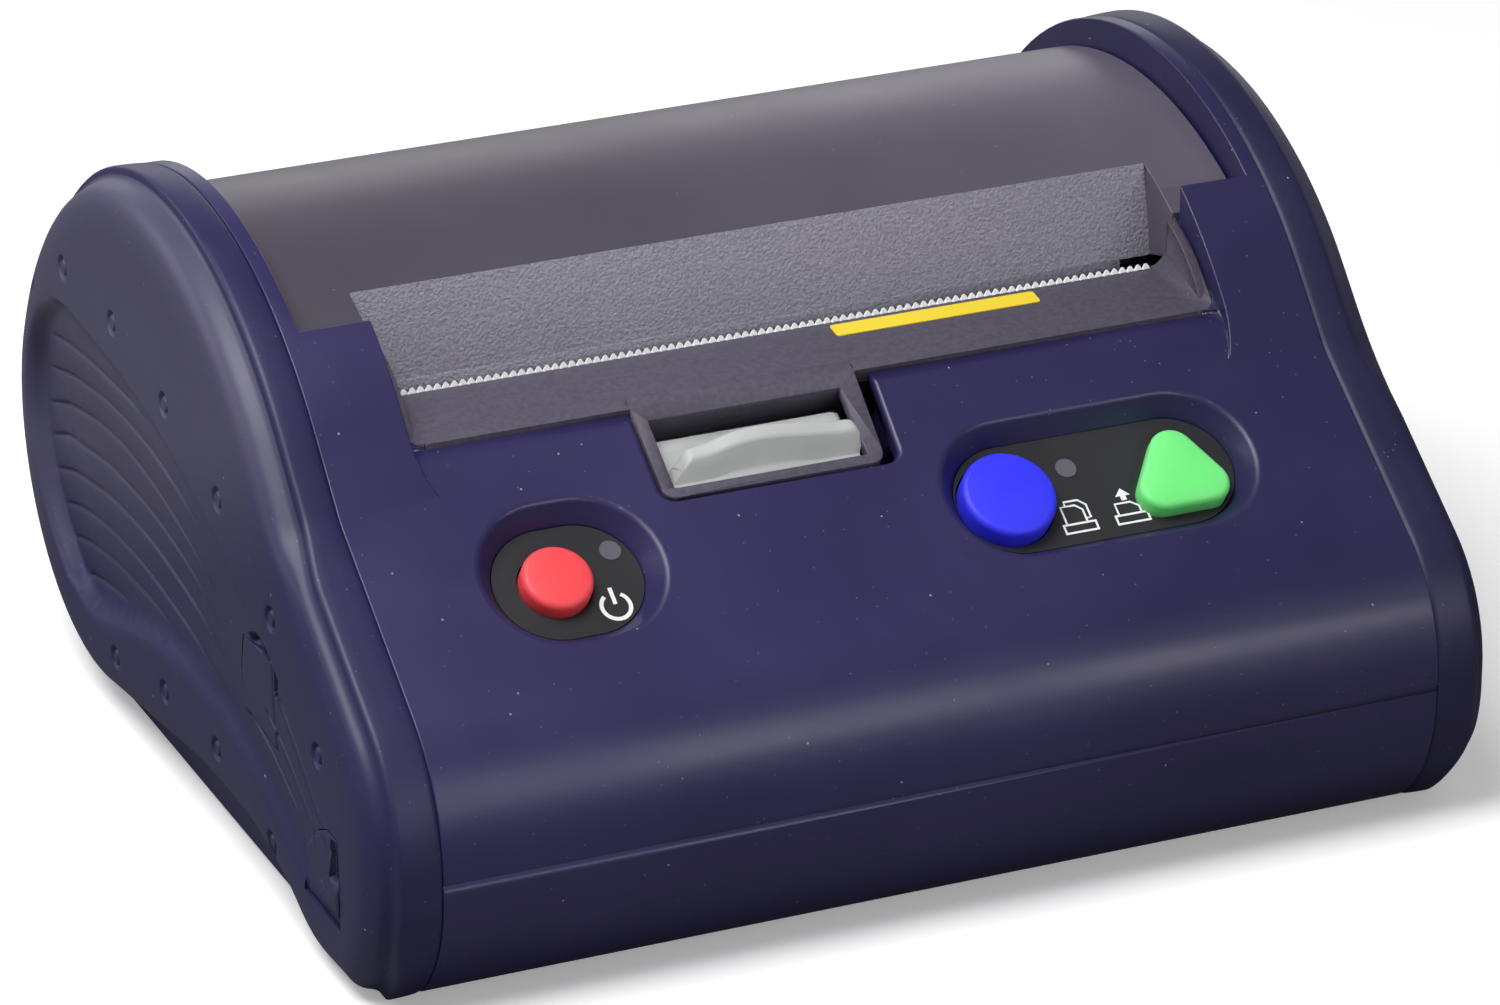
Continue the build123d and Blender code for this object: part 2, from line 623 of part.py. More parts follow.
save("power_panel", lens(POWER_LENS))
save("function_panel", lens(FUNCTION_LENS))
save("power_led", light_pipe(POWER_LED))
save("status_led", light_pipe(STATUS_LED))
power_place = Pos(*POWER_BUTTON)
save(
    "power_button",
    button(power_place * Circle(POWER_BUTTON_R), power_place * Circle(POWER_BUTTON_R + 1), POWER_BUTTON, -0.7),
)
reprint_place = Pos(*REPRINT_BUTTON)
save(
    "reprint_button",
    button(
        reprint_place * Circle(REPRINT_BUTTON_R),
        reprint_place * Circle(REPRINT_BUTTON_R + 1),
        REPRINT_BUTTON,
        -0.1,
    ),
)
save(
    "feed_button",
    button(feed_triangle(FEED_CORNER_R), feed_triangle(FEED_CORNER_R + 1), FEED_MIDDLE, -0.4),
)

# Main board with the switches under the buttons
board = Pos(0, 6.5) * Rectangle(2 * BOARD_HALF, 21.0)
save("main_board", on_panel(board, BOARD_TOP - BOARD_THICK, BOARD_TOP))
switches = []
for place in (POWER_BUTTON, REPRINT_BUTTON, FEED_MIDDLE):
    switches.append(on_panel(Pos(*place) * Rectangle(6, 6), BOARD_TOP, -10.0))
save("tact_switches", Compound(switches))


# Gears
def gear(teeth, phase):
    """Stub involute gear as a side profile about the origin, with a tooth at the phase angle."""
    pitch_r = MODULE * teeth / 2
    base_r = pitch_r * cos(radians(PRESSURE_ANGLE))
    tip_r = pitch_r + 0.8 * MODULE
    root_r = pitch_r - 1.1 * MODULE
    involute = tan(radians(PRESSURE_ANGLE)) - radians(PRESSURE_ANGLE)
    half = pi / (2 * teeth) - BACKLASH / (4 * pitch_r)
    flank = []
    steps = 4
    start_r = max(base_r, root_r)
    for i in range(steps + 1):
        r = start_r + (tip_r - start_r) * i / steps
        pressure = acos(min(1.0, base_r / r))
        flank.append((r, half + involute - (tan(pressure) - pressure)))
    flank.insert(0, (root_r, flank[0][1]))
    points = []
    for tooth in range(teeth):
        middle = radians(phase) + 2 * pi * tooth / teeth
        for r, angle in flank:
            points.append((r * cos(middle - angle), r * sin(middle - angle)))
        for r, angle in reversed(flank):
            points.append((r * cos(middle + angle), r * sin(middle + angle)))
    return points


def clean(points):
    """The same outline without repeated points."""
    kept = []
    for p in points:
        if not kept or hypot(p[0] - kept[-1][0], p[1] - kept[-1][1]) > 1e-4:
            kept.append(p)
    return kept


def gear_solid(teeth, phase, centre, bore):
    """Gear on the right-hand side of the print frame."""
    profile = Pos(*centre) * (poly(*clean(gear(teeth, phase))) - Circle(bore))
    return slab(profile, GEAR_X0, GEAR_X1)


PLATEN = (PLATEN_Y, PLATEN_Z)
IDLER = polar(PLATEN, MODULE * (PLATEN_TEETH + IDLER_TEETH) / 2, IDLER_ANGLE)
PINION = polar(IDLER, MODULE * (IDLER_TEETH + PINION_TEETH) / 2, PINION_ANGLE)

save("platen_gear", gear_solid(PLATEN_TEETH, IDLER_ANGLE, PLATEN, PLATEN_SHAFT_R))
save("idler_gear", gear_solid(IDLER_TEETH, IDLER_ANGLE + 180 + 5.0, IDLER, 1.55))
save("gear_post", rod(*IDLER, 1.5, FRAME_X1, GEAR_X1 + 0.5))
pinion = gear_solid(PINION_TEETH, PINION_ANGLE + 180, PINION, 0.9)
save("motor_pinion", pinion + rod(*PINION, 1.0, 50.0, GEAR_X1))
motor = rod(*PINION, MOTOR_R, 41.5, FRAME_X0) - rod(*PINION, 1.05, 49.5, FRAME_X0)
save("feed_motor", motor)

# Platen, its bushes and the holder under the cover
save("platen_shaft", rod(*PLATEN, PLATEN_SHAFT_R, -62.0, GEAR_X1 + 0.1))
save("platen_roller", rod(*PLATEN, ROLLER_R, -ROLLER_HALF, ROLLER_HALF)
     - rod(*PLATEN, PLATEN_SHAFT_R, -60, 60))
bush = rod(*PLATEN, BUSH_R, BUSH_INNER_X, BUSH_OUTER_X) - rod(*PLATEN, PLATEN_SHAFT_R + 0.04, 50, 70)
save("platen_bushes", both_sides(bush))
bracket = poly((-12.3, 52.0), (-9.5, 47.8), (-4.5, 47.8), (-0.8, 51.0), (0.4, 60.0), (0.4, 61.2), (-8.6, 61.2))
holder = slab(bracket, 57.1, 59.0) - rod(*PLATEN, PLATEN_SHAFT_R + 0.1, 50, 70)
holder = both_sides(holder) + box(-59.0, 59.0, -8.6, 0.4, 60.0, 61.2)
save("platen_holder", holder)


# Print frame: two side plates and a cross plate that carry the head, platen and motor
def print_frame():
    side = poly(
        (-24.0, 3.0), (4.0, 3.0), (4.0, 44.0), (-0.5, 50.4), (-4.2, 50.4), (-7.5, 52.5),
        (-11.5, 52.5), (-11.5, 57.0), (-24.0, 57.0),
    )
    seat = Pos(PLATEN_Y, PLATEN_Z) * Circle(BUSH_R + 0.05)
    plate = slab(side, FRAME_X0, FRAME_X1)
    frame = both_sides(plate)
    lobe = box(FRAME_X0, FRAME_X1, -38.0, -20.0, 12.0, 47.5)
    frame += lobe
    frame += box(-FRAME_X1, FRAME_X1, -24.0, -22.5, 44.0, 54.0)
    foot = box(52.0, FRAME_X1, -24.0, 4.0, 3.0, 4.2)
    frame += both_sides(foot)
    frame -= slab(seat, -70, 70)
    frame -= box(-70, 70, PLATEN_Y - BUSH_R - 0.05, PLATEN_Y + BUSH_R + 0.05, PLATEN_Z, 60)
    frame -= rod(LOCK_Y, LOCK_Z, LOCK_SHAFT_R + 0.04, -70, 70)
    frame -= rod(*PINION, 2.5, 50, 70)
    return frame


save("print_frame", print_frame())
save("thermal_head", box(-57.0, 57.0, -14.6, -13.6, 44.0, 58.5))
save("head_plate", box(-56.0, 56.0, -17.0, -14.6, 42.0, 57.0))


def coil(radius, wire, pitch, length):
    """Coil spring along its own Z axis, from the origin up."""
    path = Helix(pitch=pitch, height=length, radius=radius)
    return sweep(Plane(origin=path @ 0, z_dir=path % 0) * Circle(wire), path=path)


head_springs = []
for x in (-40.0, -14.0, 14.0, 40.0):
    head_springs.append(Pos(x, -17.35, 50.0) * Rot(90, 0, 0) * coil(1.8, 0.25, 1.2, 4.8))
save("head_springs", Compound(head_springs))
save("head_cable", slab(poly((-34.3, 42.3), (-17.0, 41.8), (-17.0, 42.0), (-34.3, 42.5)), 12.0, 34.0))

# Trough for the paper roll, with the end-of-paper sensor
ROLL = (ROLL_Y, ROLL_Z)
trough = Pos(*ROLL) * (Circle(ROLL_R + 1.6) - Circle(ROLL_R))
trough -= poly((-20, 56.0), (80, 56.0), (80, 90), (-20, 90))
trough -= poly((50, 46.0), (80, 46.0), (80, 90), (50, 90))
end = Pos(*ROLL) * Circle(ROLL_R + 1.6) & poly((4.6, 10), (70, 10), (70, 46), (46, 56), (4.6, 56))
end += poly((12, 3.0), (40, 3.0), (40, 30), (12, 30))
well = slab(trough, -ROLL_TROUGH_HALF, ROLL_TROUGH_HALF)
well += both_sides(slab(end, ROLL_TROUGH_HALF, ROLL_TROUGH_HALF + 1.6))
save("paper_well", well)
save("paper_sensor", box(-6, 6, -4.5, -0.2, 38.0, 44.0))

# Cover lock: two hooks on a shaft that hold the platen's bushes down
hook = Pos(*PLATEN) * (Circle(6.3) - Circle(BUSH_R + 0.1))
reach = [polar(PLATEN, 12, angle) for angle in (128, 150, 175, 200)]
hook = hook & poly(PLATEN, *reach)
hook += poly((-13.8, 52.0), (-11.7, 51.8), (-11.5, 39.5), (-16.4, 39.5))
hook += Pos(LOCK_Y, LOCK_Z) * Circle(3.0)
hook -= Pos(LOCK_Y, LOCK_Z) * Circle(LOCK_SHAFT_R)
hook -= Pos(*PLATEN) * Circle(BUSH_R + 0.1)
save("lock_hooks", both_sides(slab(hook, 61.3, 62.7)))
save("lock_shaft", rod(LOCK_Y, LOCK_Z, LOCK_SHAFT_R, -62.7, 62.7))
arm = poly((-22.5, 38.9), (-14, 37.6), (-14, 41.4), (-17, 40.2), (-22.5, 40.2))
arm += Pos(LOCK_Y, LOCK_Z) * Circle(2.6)
arm -= Pos(LOCK_Y, LOCK_Z) * Circle(LOCK_SHAFT_R)
save("lock_arm", slab(arm, -14.0, -10.0))


# Release lever: a finger plate behind the window, on a shaft across two ribs
def release_lever():
    middle_x, middle_s, width, height = FINGER_PLATE
    plate = Pos(middle_x, middle_s) * RectangleRounded(width, height, 0.8)
    plate = on_panel(plate, FINGER_PLATE_TOP - FINGER_PLATE_THICK, FINGER_PLATE_TOP)
    lip = poly((-37.6, 52.2), (-38.6, LIP_FOOT_Z), (-37.9, 58.5), (-36.0, 58.5), (-36.2, 53.2))
    front = make_face(
        [
            Spline(*LIP_WAVE),
            Line(LIP_WAVE[-1], (LIP_X1, 52.0)),
            Line((LIP_X1, 52.0), (LIP_X0, 52.0)),
            Line((LIP_X0, 52.0), LIP_WAVE[0]),
        ]
    )
    wave = extrude(Plane.XZ.offset(30) * front, amount=12)
    lever = plate + (slab(lip, LIP_X0, LIP_X1) & wave)
    web = poly((-31.4, 45.4), (-26.2, 46.3), (-31.8, 55.0), (-35.6, 53.0))
    lever += slab(web, -21.0, -4.0)
    lever += rod(LEVER_Y, LEVER_Z, 3.2, -24.0, 0.0)
    tail = poly((-29.0, 41.0), (-21.5, 40.6), (-21.5, 42.2), (-26.0, 43.6))
    lever += slab(tail, -13.5, -10.5)
    return lever - rod(LEVER_Y, LEVER_Z, LEVER_SHAFT_R + 0.05, -30, 10)


save("release_lever", release_lever())
save("lever_shaft", rod(LEVER_Y, LEVER_Z, LEVER_SHAFT_R, LEVER_RIBS[0], LEVER_RIBS[1] + 1.5))
save("lever_spring", Pos(0.35, LEVER_Y, LEVER_Z) * Rot(0, 90, 0) * coil(2.1, 0.25, 0.7, 3.3))

# Battery pack, which slides out at the back, and its contacts
pack = slab(case_outline(0), -BATTERY_HALF, BATTERY_HALF)
pack &= box(-BATTERY_HALF, BATTERY_HALF, BATTERY_FRONT_Y, 90, BATTERY_Z0, BATTERY_Z1)
save("battery_pack", pack)
contacts = [box(x - 1, x + 1, 3.5, 4.9, 6.0, 14.0) for x in (-9.0, -3.0, 3.0, 9.0)]
save("battery_contacts", Compound(contacts))

# Screws and feet
screws = []
for x, y in SCREW_PLACES:
    head = Pos(x, y, 2.6) * Cylinder(2.6, 2.0)
    screws.append(head + Pos(x, y, 16.3) * Cylinder(1.25, 25.6))
save("case_screws", Compound(screws))
save("feet", Compound([Pos(x, y, BASE_Z / 2) * Cylinder(FOOT_R, BASE_Z) for x, y in FOOT_PLACES]))
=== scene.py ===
import json
from math import acos, asin, cos, degrees, hypot, pi, radians, sin

import bmesh
import bpy
import numpy as np
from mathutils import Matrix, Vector
from mathutils.geometry import delaunay_2d_cdt
from mathutils.kdtree import KDTree

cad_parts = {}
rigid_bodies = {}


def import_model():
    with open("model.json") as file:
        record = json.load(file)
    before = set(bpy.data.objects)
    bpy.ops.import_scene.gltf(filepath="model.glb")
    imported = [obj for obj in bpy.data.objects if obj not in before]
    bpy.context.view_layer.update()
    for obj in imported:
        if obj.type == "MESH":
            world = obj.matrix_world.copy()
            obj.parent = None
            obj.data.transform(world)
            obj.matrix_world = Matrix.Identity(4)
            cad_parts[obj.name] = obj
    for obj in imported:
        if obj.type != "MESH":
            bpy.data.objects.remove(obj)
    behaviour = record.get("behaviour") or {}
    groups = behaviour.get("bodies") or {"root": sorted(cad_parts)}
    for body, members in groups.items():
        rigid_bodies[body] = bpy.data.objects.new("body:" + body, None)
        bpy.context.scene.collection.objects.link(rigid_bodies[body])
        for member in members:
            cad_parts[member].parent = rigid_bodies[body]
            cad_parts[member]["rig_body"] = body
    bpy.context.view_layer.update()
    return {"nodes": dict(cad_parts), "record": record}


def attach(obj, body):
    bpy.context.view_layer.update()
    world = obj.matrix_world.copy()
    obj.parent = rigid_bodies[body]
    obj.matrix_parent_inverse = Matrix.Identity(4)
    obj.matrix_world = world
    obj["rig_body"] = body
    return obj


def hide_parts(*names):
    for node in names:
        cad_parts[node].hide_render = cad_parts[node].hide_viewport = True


# Portable receipt printer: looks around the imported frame. Lengths in millimetres, turned to metres by MM.
MM = 0.001
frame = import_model()
NODES = frame["nodes"]
SCENE = bpy.context.scene

# Casing outline, as in the part
BASE_Z = 0.8
BARREL_CENTRE = (13.0, 25.3)
BARREL_R = 58.0
REAR_R = 34.0
REAR_ANGLE = 21.25
PANEL_FOOT = (-56.0, 43.5)
PANEL_SLOPE = 34.29
CREASE_Y = -37.8
NOSE_R = 21.8
NOSE_TOP_ALONG_PANEL = -7.97
NOSE_FLAT = 2.5
DOME_REAR_R = 31.0
DOME_INSET = 1.8

# Camera
AIM = (7.179, 9.52, 25.463)
VIEW_AZIMUTH = 23.767
VIEW_ELEVATION = 24.0
VIEW_DISTANCE = 1000.0
LENS = 173.55
SENSOR_WIDTH = 36.0
CLIP_RANGE = (0.05, 20.0)

UP_PANEL = (cos(radians(PANEL_SLOPE)), sin(radians(PANEL_SLOPE)))
OUT_PANEL = (-UP_PANEL[1], UP_PANEL[0])


def linear(red, green, blue):
    """A colour given as 0 to 255 screen values."""
    out = []
    for value in (red, green, blue):
        v = value / 255
        out.append(v / 12.92 if v <= 0.04045 else ((v + 0.055) / 1.055) ** 2.4)
    return (*out, 1.0)


def ease(t):
    """Smooth step from 0 to 1."""
    t = np.clip(t, 0.0, 1.0)
    return t * t * (3 - 2 * t)


def ramp(value, start, over):
    """Smooth step that begins at start and takes a distance; a negative distance runs downward."""
    return ease((value - start) / over)


def polar(centre, radius, angle):
    return (centre[0] + radius * cos(radians(angle)), centre[1] + radius * sin(radians(angle)))


def panel_spot(x, along, out):
    """Point in space from a place on the control panel and a height over it."""
    y = PANEL_FOOT[0] + along * UP_PANEL[0] + out * OUT_PANEL[0]
    z = PANEL_FOOT[1] + along * UP_PANEL[1] + out * OUT_PANEL[1]
    return (x, y, z)


# Node helpers
def feed(tree, target, value):
    """A socket is linked to another one, or gets a plain value."""
    if isinstance(value, bpy.types.NodeSocket):
        tree.links.new(value, target)
    else:
        target.default_value = value


def add_node(tree, kind, group=None, **inputs):
    """Node with its inputs fed by name; a name's underscores stand for spaces."""
    node = tree.nodes.new(kind)
    if group:
        node.node_tree = group
    for label, value in inputs.items():
        feed(tree, node.inputs[label.replace("_", " ")], value)
    return node


def maths(tree, operation, *values):
    """Math node on sockets and numbers."""
    node = tree.nodes.new("ShaderNodeMath")
    node.operation = operation
    for target, value in zip(node.inputs, values):
        feed(tree, target, value)
    return node.outputs[0]


def spread(tree, value, low, high, to_low, to_high):
    """A value between two limits, taken over to two others."""
    node = add_node(
        tree, "ShaderNodeMapRange", Value=value, From_Min=low, From_Max=high, To_Min=to_low, To_Max=to_high
    )
    return node.outputs["Result"]


def mix_colours(tree, factor, first, second):
    node = add_node(tree, "ShaderNodeMix", Factor=factor)
    node.data_type = "RGBA"
    for label, colour in (("A", first), ("B", second)):
        feed(tree, next(s for s in node.inputs if s.name == label and s.type == "RGBA"), colour)
    return next(s for s in node.outputs if s.type == "RGBA")


def coordinates(tree, kind):
    return tree.nodes.new("ShaderNodeTexCoord").outputs[kind]


def split_place(tree, kind):
    """X, Y and Z of a kind of coordinates."""
    return add_node(tree, "ShaderNodeSeparateXYZ", Vector=coordinates(tree, kind)).outputs


def seen_by_camera(tree):
    return tree.nodes.new("ShaderNodeLightPath").outputs["Is Camera Ray"]


def new_group(name, kind, inputs, outputs):
    """Empty node group with named sockets; comes back with what it is given."""
    tree = bpy.data.node_groups.new(name, kind)
    for label, socket, value in inputs:
        item = tree.interface.new_socket(name=label, in_out="INPUT", socket_type=socket)
        if value is not None:
            item.default_value = value
    for label, socket in outputs:
        tree.interface.new_socket(name=label, in_out="OUTPUT", socket_type=socket)
    return tree, tree.nodes.new("NodeGroupInput").outputs


# Stage: camera and light
def set_camera():
    camera = bpy.data.objects.new("camera", bpy.data.cameras.new("camera"))
    SCENE.collection.objects.link(camera)
    az, el = radians(VIEW_AZIMUTH), radians(VIEW_ELEVATION)
    forward = Vector((cos(el) * sin(az), cos(el) * cos(az), -sin(el)))
    camera.location = (Vector(AIM) - VIEW_DISTANCE * forward) * MM
    camera.rotation_euler = forward.to_track_quat("-Z", "Y").to_euler()
    camera.data.lens = LENS
    camera.data.sensor_width = SENSOR_WIDTH
    camera.data.clip_start, camera.data.clip_end = CLIP_RANGE
    SCENE.camera = camera
    SCENE.view_settings.view_transform = "Standard"


def set_world():
    """Soft light from all round, dimmer overhead and to the right, and plain white behind the object."""
    world = bpy.data.worlds.new("studio")
    SCENE.world = world
    world.use_nodes = True
    tree = world.node_tree
    back = tree.nodes["Background"]
    back.inputs["Color"].default_value = (1, 1, 1, 1)
    way = split_place(tree, "Generated")
    upward = spread(tree, way["Z"], *CEILING_FROM, WALL_LIGHT, CEILING_LIGHT)
    rightward = spread(tree, way["X"], -1.0, 1.0, *LEFT_TO_RIGHT)
    light = maths(tree, "MULTIPLY", upward, rightward)
    level = add_node(tree, "ShaderNodeMix", Factor=seen_by_camera(tree), A=light, B=1.0)
    tree.links.new(level.outputs["Result"], back.inputs["Strength"])


def add_lamp(name, place, aim, size, power):
    """Soft rectangular lamp; place, aim and size in metres, power in watts."""
    lamp = bpy.data.lights.new(name, "AREA")
    lamp.shape = "RECTANGLE"
    lamp.size, lamp.size_y = size
    lamp.energy = power
    holder = bpy.data.objects.new(name, lamp)
    SCENE.collection.objects.link(holder)
    holder.location = place
    holder.rotation_euler = (Vector(aim) - Vector(place)).to_track_quat("-Z", "Y").to_euler()


WALL_LIGHT = 0.24
CEILING_LIGHT = 0.20
CEILING_FROM = (0.15, 0.75)
LEFT_TO_RIGHT = (1.3, 0.55)
ABOUT_BASE = (0, 0, 0.03)
set_camera()
set_world()
add_lamp("key_lamp", (-0.28, -0.10, 0.68), ABOUT_BASE, (0.40, 0.40), 4.9)
add_lamp("front_lamp", (0.33, -0.88, 0.43), ABOUT_BASE, (0.6, 0.08), 2.1)
add_lamp("back_lamp", (0.40, 0.95, 0.24), (0, 0.02, 0.07), (1.3, 0.34), 2.0)
add_lamp("side_lamp", (-0.75, 0.5, 0.42), (-0.05, 0, 0.04), (0.9, 0.16), 2.0)


# Finishes. Places in the node groups are metres, and noise sizes count per metre
COLOUR, VALUE = "NodeSocketColor", "NodeSocketFloat"
GREY = (0.5, 0.5, 0.5, 1)
CLOUD_RANGE = (0.35, 0.65)


def noise(tree, scale, detail, place):
    return add_node(tree, "ShaderNodeTexNoise", Detail=detail, Scale=scale, Vector=place).outputs["Fac"]


def moulding_group():
    """Slow cloudiness of a moulded surface, and its fine spark-eroded grain."""
    tree, given = new_group(
        "moulded_surface", "ShaderNodeTree",
        [
            ("Colour", COLOUR, GREY), ("Cloud Colour", COLOUR, GREY), ("Cloud Size", VALUE, 45.0),
            ("Grain Size", VALUE, 2400.0), ("Roughness", VALUE, 0.5), ("Roughness Change", VALUE, 0.06),
        ],
        [("Colour", COLOUR), ("Roughness", VALUE), ("Height", VALUE)],
    )
    place = coordinates(tree, "Object")
    cloud = noise(tree, given["Cloud Size"], 3.0, place)
    grain = noise(tree, given["Grain Size"], 2.0, place)
    amount = spread(tree, cloud, *CLOUD_RANGE, 0.0, 1.0)
    colour = mix_colours(tree, amount, given["Colour"], given["Cloud Colour"])
    roughness = maths(tree, "MULTIPLY_ADD", amount, given["Roughness Change"], given["Roughness"])
    add_node(tree, "NodeGroupOutput", Colour=colour, Roughness=roughness, Height=grain)
    return tree


def colour_effect(name, second, values, amount_from, blend="MIX"):
    """Group that turns a colour towards a second one, by an amount that a function finds."""
    inputs = [("Colour", COLOUR, GREY), (second, COLOUR, GREY), *((k, VALUE, v) for k, v in values.items())]
    tree, given = new_group(name, "ShaderNodeTree", inputs, [("Colour", COLOUR)])
    colour = mix_colours(tree, amount_from(tree, given), given["Colour"], given[second])
    colour.node.blend_type = blend
    add_node(tree, "NodeGroupOutput", Colour=colour)
    return tree


def dust_amount(tree, given):
    """Where sparse specks of dust and lint lie on a surface."""
    cells = add_node(tree, "ShaderNodeTexVoronoi", Vector=coordinates(tree, "Object"), Scale=given["Spacing"])
    near = maths(tree, "LESS_THAN", cells.outputs["Distance"], given["Speck Size"])
    return maths(tree, "MULTIPLY", near, given["Amount"])


def painted_sheen_amount(tree, given):
    """How far up and back a spot lies on the domed rubber faces, where a lighter, greyer sheen is painted in
    place of reflected light.
    """
    place = split_place(tree, "Object")
    lift = maths(tree, "MULTIPLY_ADD", place["Y"], given["Lean"], place["Z"])
    amount = spread(tree, lift, given["Start"], given["End"], 0.0, 1.0)
    outside = maths(tree, "GREATER_THAN", maths(tree, "ABSOLUTE", place["X"]), given["Face X"])
    return maths(tree, "MULTIPLY", amount, outside)


def painted_end_light_amount(tree, given):
    """How near the object's right end a spot lies; there the colour is scaled, which paints shade on some
    finishes and light on others.
    """
    place = split_place(tree, "Object")
    return spread(tree, place["X"], given["Start X"], given["End X"], 0.0, given["Amount"])


MOULDING = moulding_group()
DUST = colour_effect(
    "dust_specks", "Dust Colour", {"Spacing": 480.0, "Speck Size": 0.05, "Amount": 0.6}, dust_amount
)
# Painted sheen: the caps' upper rear faces are painted lighter and greyer, standing in for reflected light.
PAINTED_SHEEN = colour_effect(
    "painted_rubber_sheen", "Bloom Colour", {"Start": 0.034, "End": 0.054, "Lean": 0.4, "Face X": 0.0757},
    painted_sheen_amount,
)
# Painted light and shade: a finish's colour is scaled towards the right end, darker where less light falls
# there, lighter on the cover as a painted highlight.
PAINTED_END_LIGHT = colour_effect(
    "painted_right_end_light", "Shade", {"Start X": -0.02, "End X": 0.075, "Amount": 0.8}, painted_end_light_amount,
    blend="MULTIPLY",
)
SOFT_RADIUS = (1.0, 1.0, 1.0)
SOFT_DEPTH = 0.0022
FINE_DUST = {"Dust_Colour": linear(128, 126, 150), "Spacing": 520.0, "Speck_Size": 0.06}
COARSE_DUST = {"Dust_Colour": linear(165, 165, 180), "Spacing": 210.0, "Speck_Size": 0.035}
FINE_DUST_SHARE = 0.7


def skin(
    name, colour, cloud, rough, change=0.06, grain=2400.0, depth=0.012, gloss=0.5, cloud_size=45.0,
    metallic=0.0, dust=0.0, painted_sheen=None, painted_end_light=None, soft=0.0,
):
    """Surface of a moulded or metal part with its grain and cloudiness; colours as screen values.

    It can have dust, a painted sheen, painted light or shade towards its right end, and let some light in
    under its skin.
    """
    material = bpy.data.materials.new(name)
    material.use_nodes = True
    tree = material.node_tree
    shader = tree.nodes["Principled BSDF"]
    surface = add_node(
        tree, "ShaderNodeGroup", MOULDING, Colour=linear(*colour), Cloud_Colour=linear(*cloud),
        Cloud_Size=cloud_size, Grain_Size=grain, Roughness=rough, Roughness_Change=change,
    ).outputs
    effects = []
    # Painted sheen and painted light or shade at the right end are laid on the colour here.
    if painted_sheen:
        effects.append((PAINTED_SHEEN, {"Bloom_Colour": linear(*painted_sheen)}))
    if painted_end_light:
        effects.append((PAINTED_END_LIGHT, {"Shade": (painted_end_light, painted_end_light, painted_end_light, 1.0)}))
    if dust:
        effects.append((DUST, {"Amount": dust * FINE_DUST_SHARE, **FINE_DUST}))
        effects.append((DUST, {"Amount": dust, **COARSE_DUST}))
    shown = surface["Colour"]
    for group, values in effects:
        shown = add_node(tree, "ShaderNodeGroup", group, Colour=shown, **values).outputs["Colour"]
    bump = add_node(tree, "ShaderNodeBump", Distance=depth * MM, Strength=1.0, Height=surface["Height"])
    given = {
        "Base Color": shown, "Roughness": surface["Roughness"], "Normal": bump.outputs["Normal"],
        "Specular IOR Level": gloss, "Metallic": metallic,
    }
    if soft:
        given |= {"Subsurface Weight": soft, "Subsurface Radius": SOFT_RADIUS, "Subsurface Scale": SOFT_DEPTH}
    for label, value in given.items():
        feed(tree, shader.inputs[label], value)
    return material


# Each slot's colour, cloud colour and roughness, and what differs from plain moulded plastic
KEY = {"depth": 0.006, "gloss": 0.4, "soft": 0.7}
METAL = {"grain": 900.0, "depth": 0.004, "change": 0.15, "metallic": 1.0}
# The right-end value below 1 paints shade towards the object's right end, above 1 paints light there.
SKINS = {
    "case_plastic": (
        (43, 37, 82), (47, 41, 88), 0.36, {"grain": 2600.0, "depth": 0.010, "dust": 0.65, "painted_end_light": 0.7},
    ),
    # The cap rubber carries a painted sheen on its upper rear faces.
    "cap_rubber": (
        (38, 33, 75), (43, 38, 81), 0.44,
        {"grain": 2200.0, "gloss": 0.42, "dust": 0.65, "painted_sheen": (72, 69, 96), "painted_end_light": 0.6},
    ),
    "cover_plastic": (
        (70, 65, 77), (74, 69, 81), 0.38, {"grain": 3000.0, "depth": 0.008, "dust": 0.25, "painted_end_light": 1.9},
    ),
    "head_plastic": (
        (80, 75, 90), (90, 85, 100), 0.5,
        {"grain": 3200.0, "depth": 0.04, "gloss": 0.35, "dust": 0.2, "cloud_size": 1300.0, "painted_end_light": 0.6},
    ),
    "lever_plastic": ((182, 185, 183), (188, 191, 189), 0.45, {"depth": 0.006, "gloss": 0.4}),
    "lens_plastic": ((40, 40, 44), (46, 46, 50), 0.42, {"depth": 0.004, "gloss": 0.35}),
    "led_plastic": ((92, 92, 100), (100, 100, 108), 0.3, {"depth": 0.002}),
    "button_red": ((252, 78, 86), (255, 86, 94), 0.45, KEY),
    "button_blue": ((50, 50, 246), (58, 60, 252), 0.45, KEY),
    "button_green": ((120, 240, 134), (130, 244, 142), 0.45, KEY),
    "strip_yellow": ((238, 210, 52), (242, 216, 64), 0.35, {"depth": 0.003}),
    "inner_plastic": ((52, 50, 58), (60, 58, 66), 0.55, {"depth": 0.01, "gloss": 0.3}),
    "roller_rubber": ((34, 34, 36), (42, 42, 44), 0.8, {"grain": 1800.0, "depth": 0.02}),
    "foot_rubber": ((30, 30, 32), (38, 38, 40), 0.85, {"grain": 1500.0, "depth": 0.03}),
    "gear_plastic": ((224, 220, 206), (232, 228, 214), 0.4, {"depth": 0.006}),
    "board": ((22, 84, 50), (30, 100, 60), 0.4, {"grain": 700.0, "depth": 0.02}),
    "head_ceramic": ((214, 208, 196), (224, 218, 206), 0.3, {"depth": 0.002}),
    "flex": ((188, 120, 48), (204, 138, 60), 0.35, {"grain": 900.0, "depth": 0.006}),
    "steel": ((196, 196, 200), (176, 176, 182), 0.28, METAL),
    "motor_can": ((150, 150, 154), (132, 132, 138), 0.38, METAL),
    "heat_sink": ((176, 178, 182), (160, 162, 168), 0.42, METAL),
}
FINISHES = {slot: skin(slot + "_skin", *first, **more) for slot, (*first, more) in SKINS.items()}
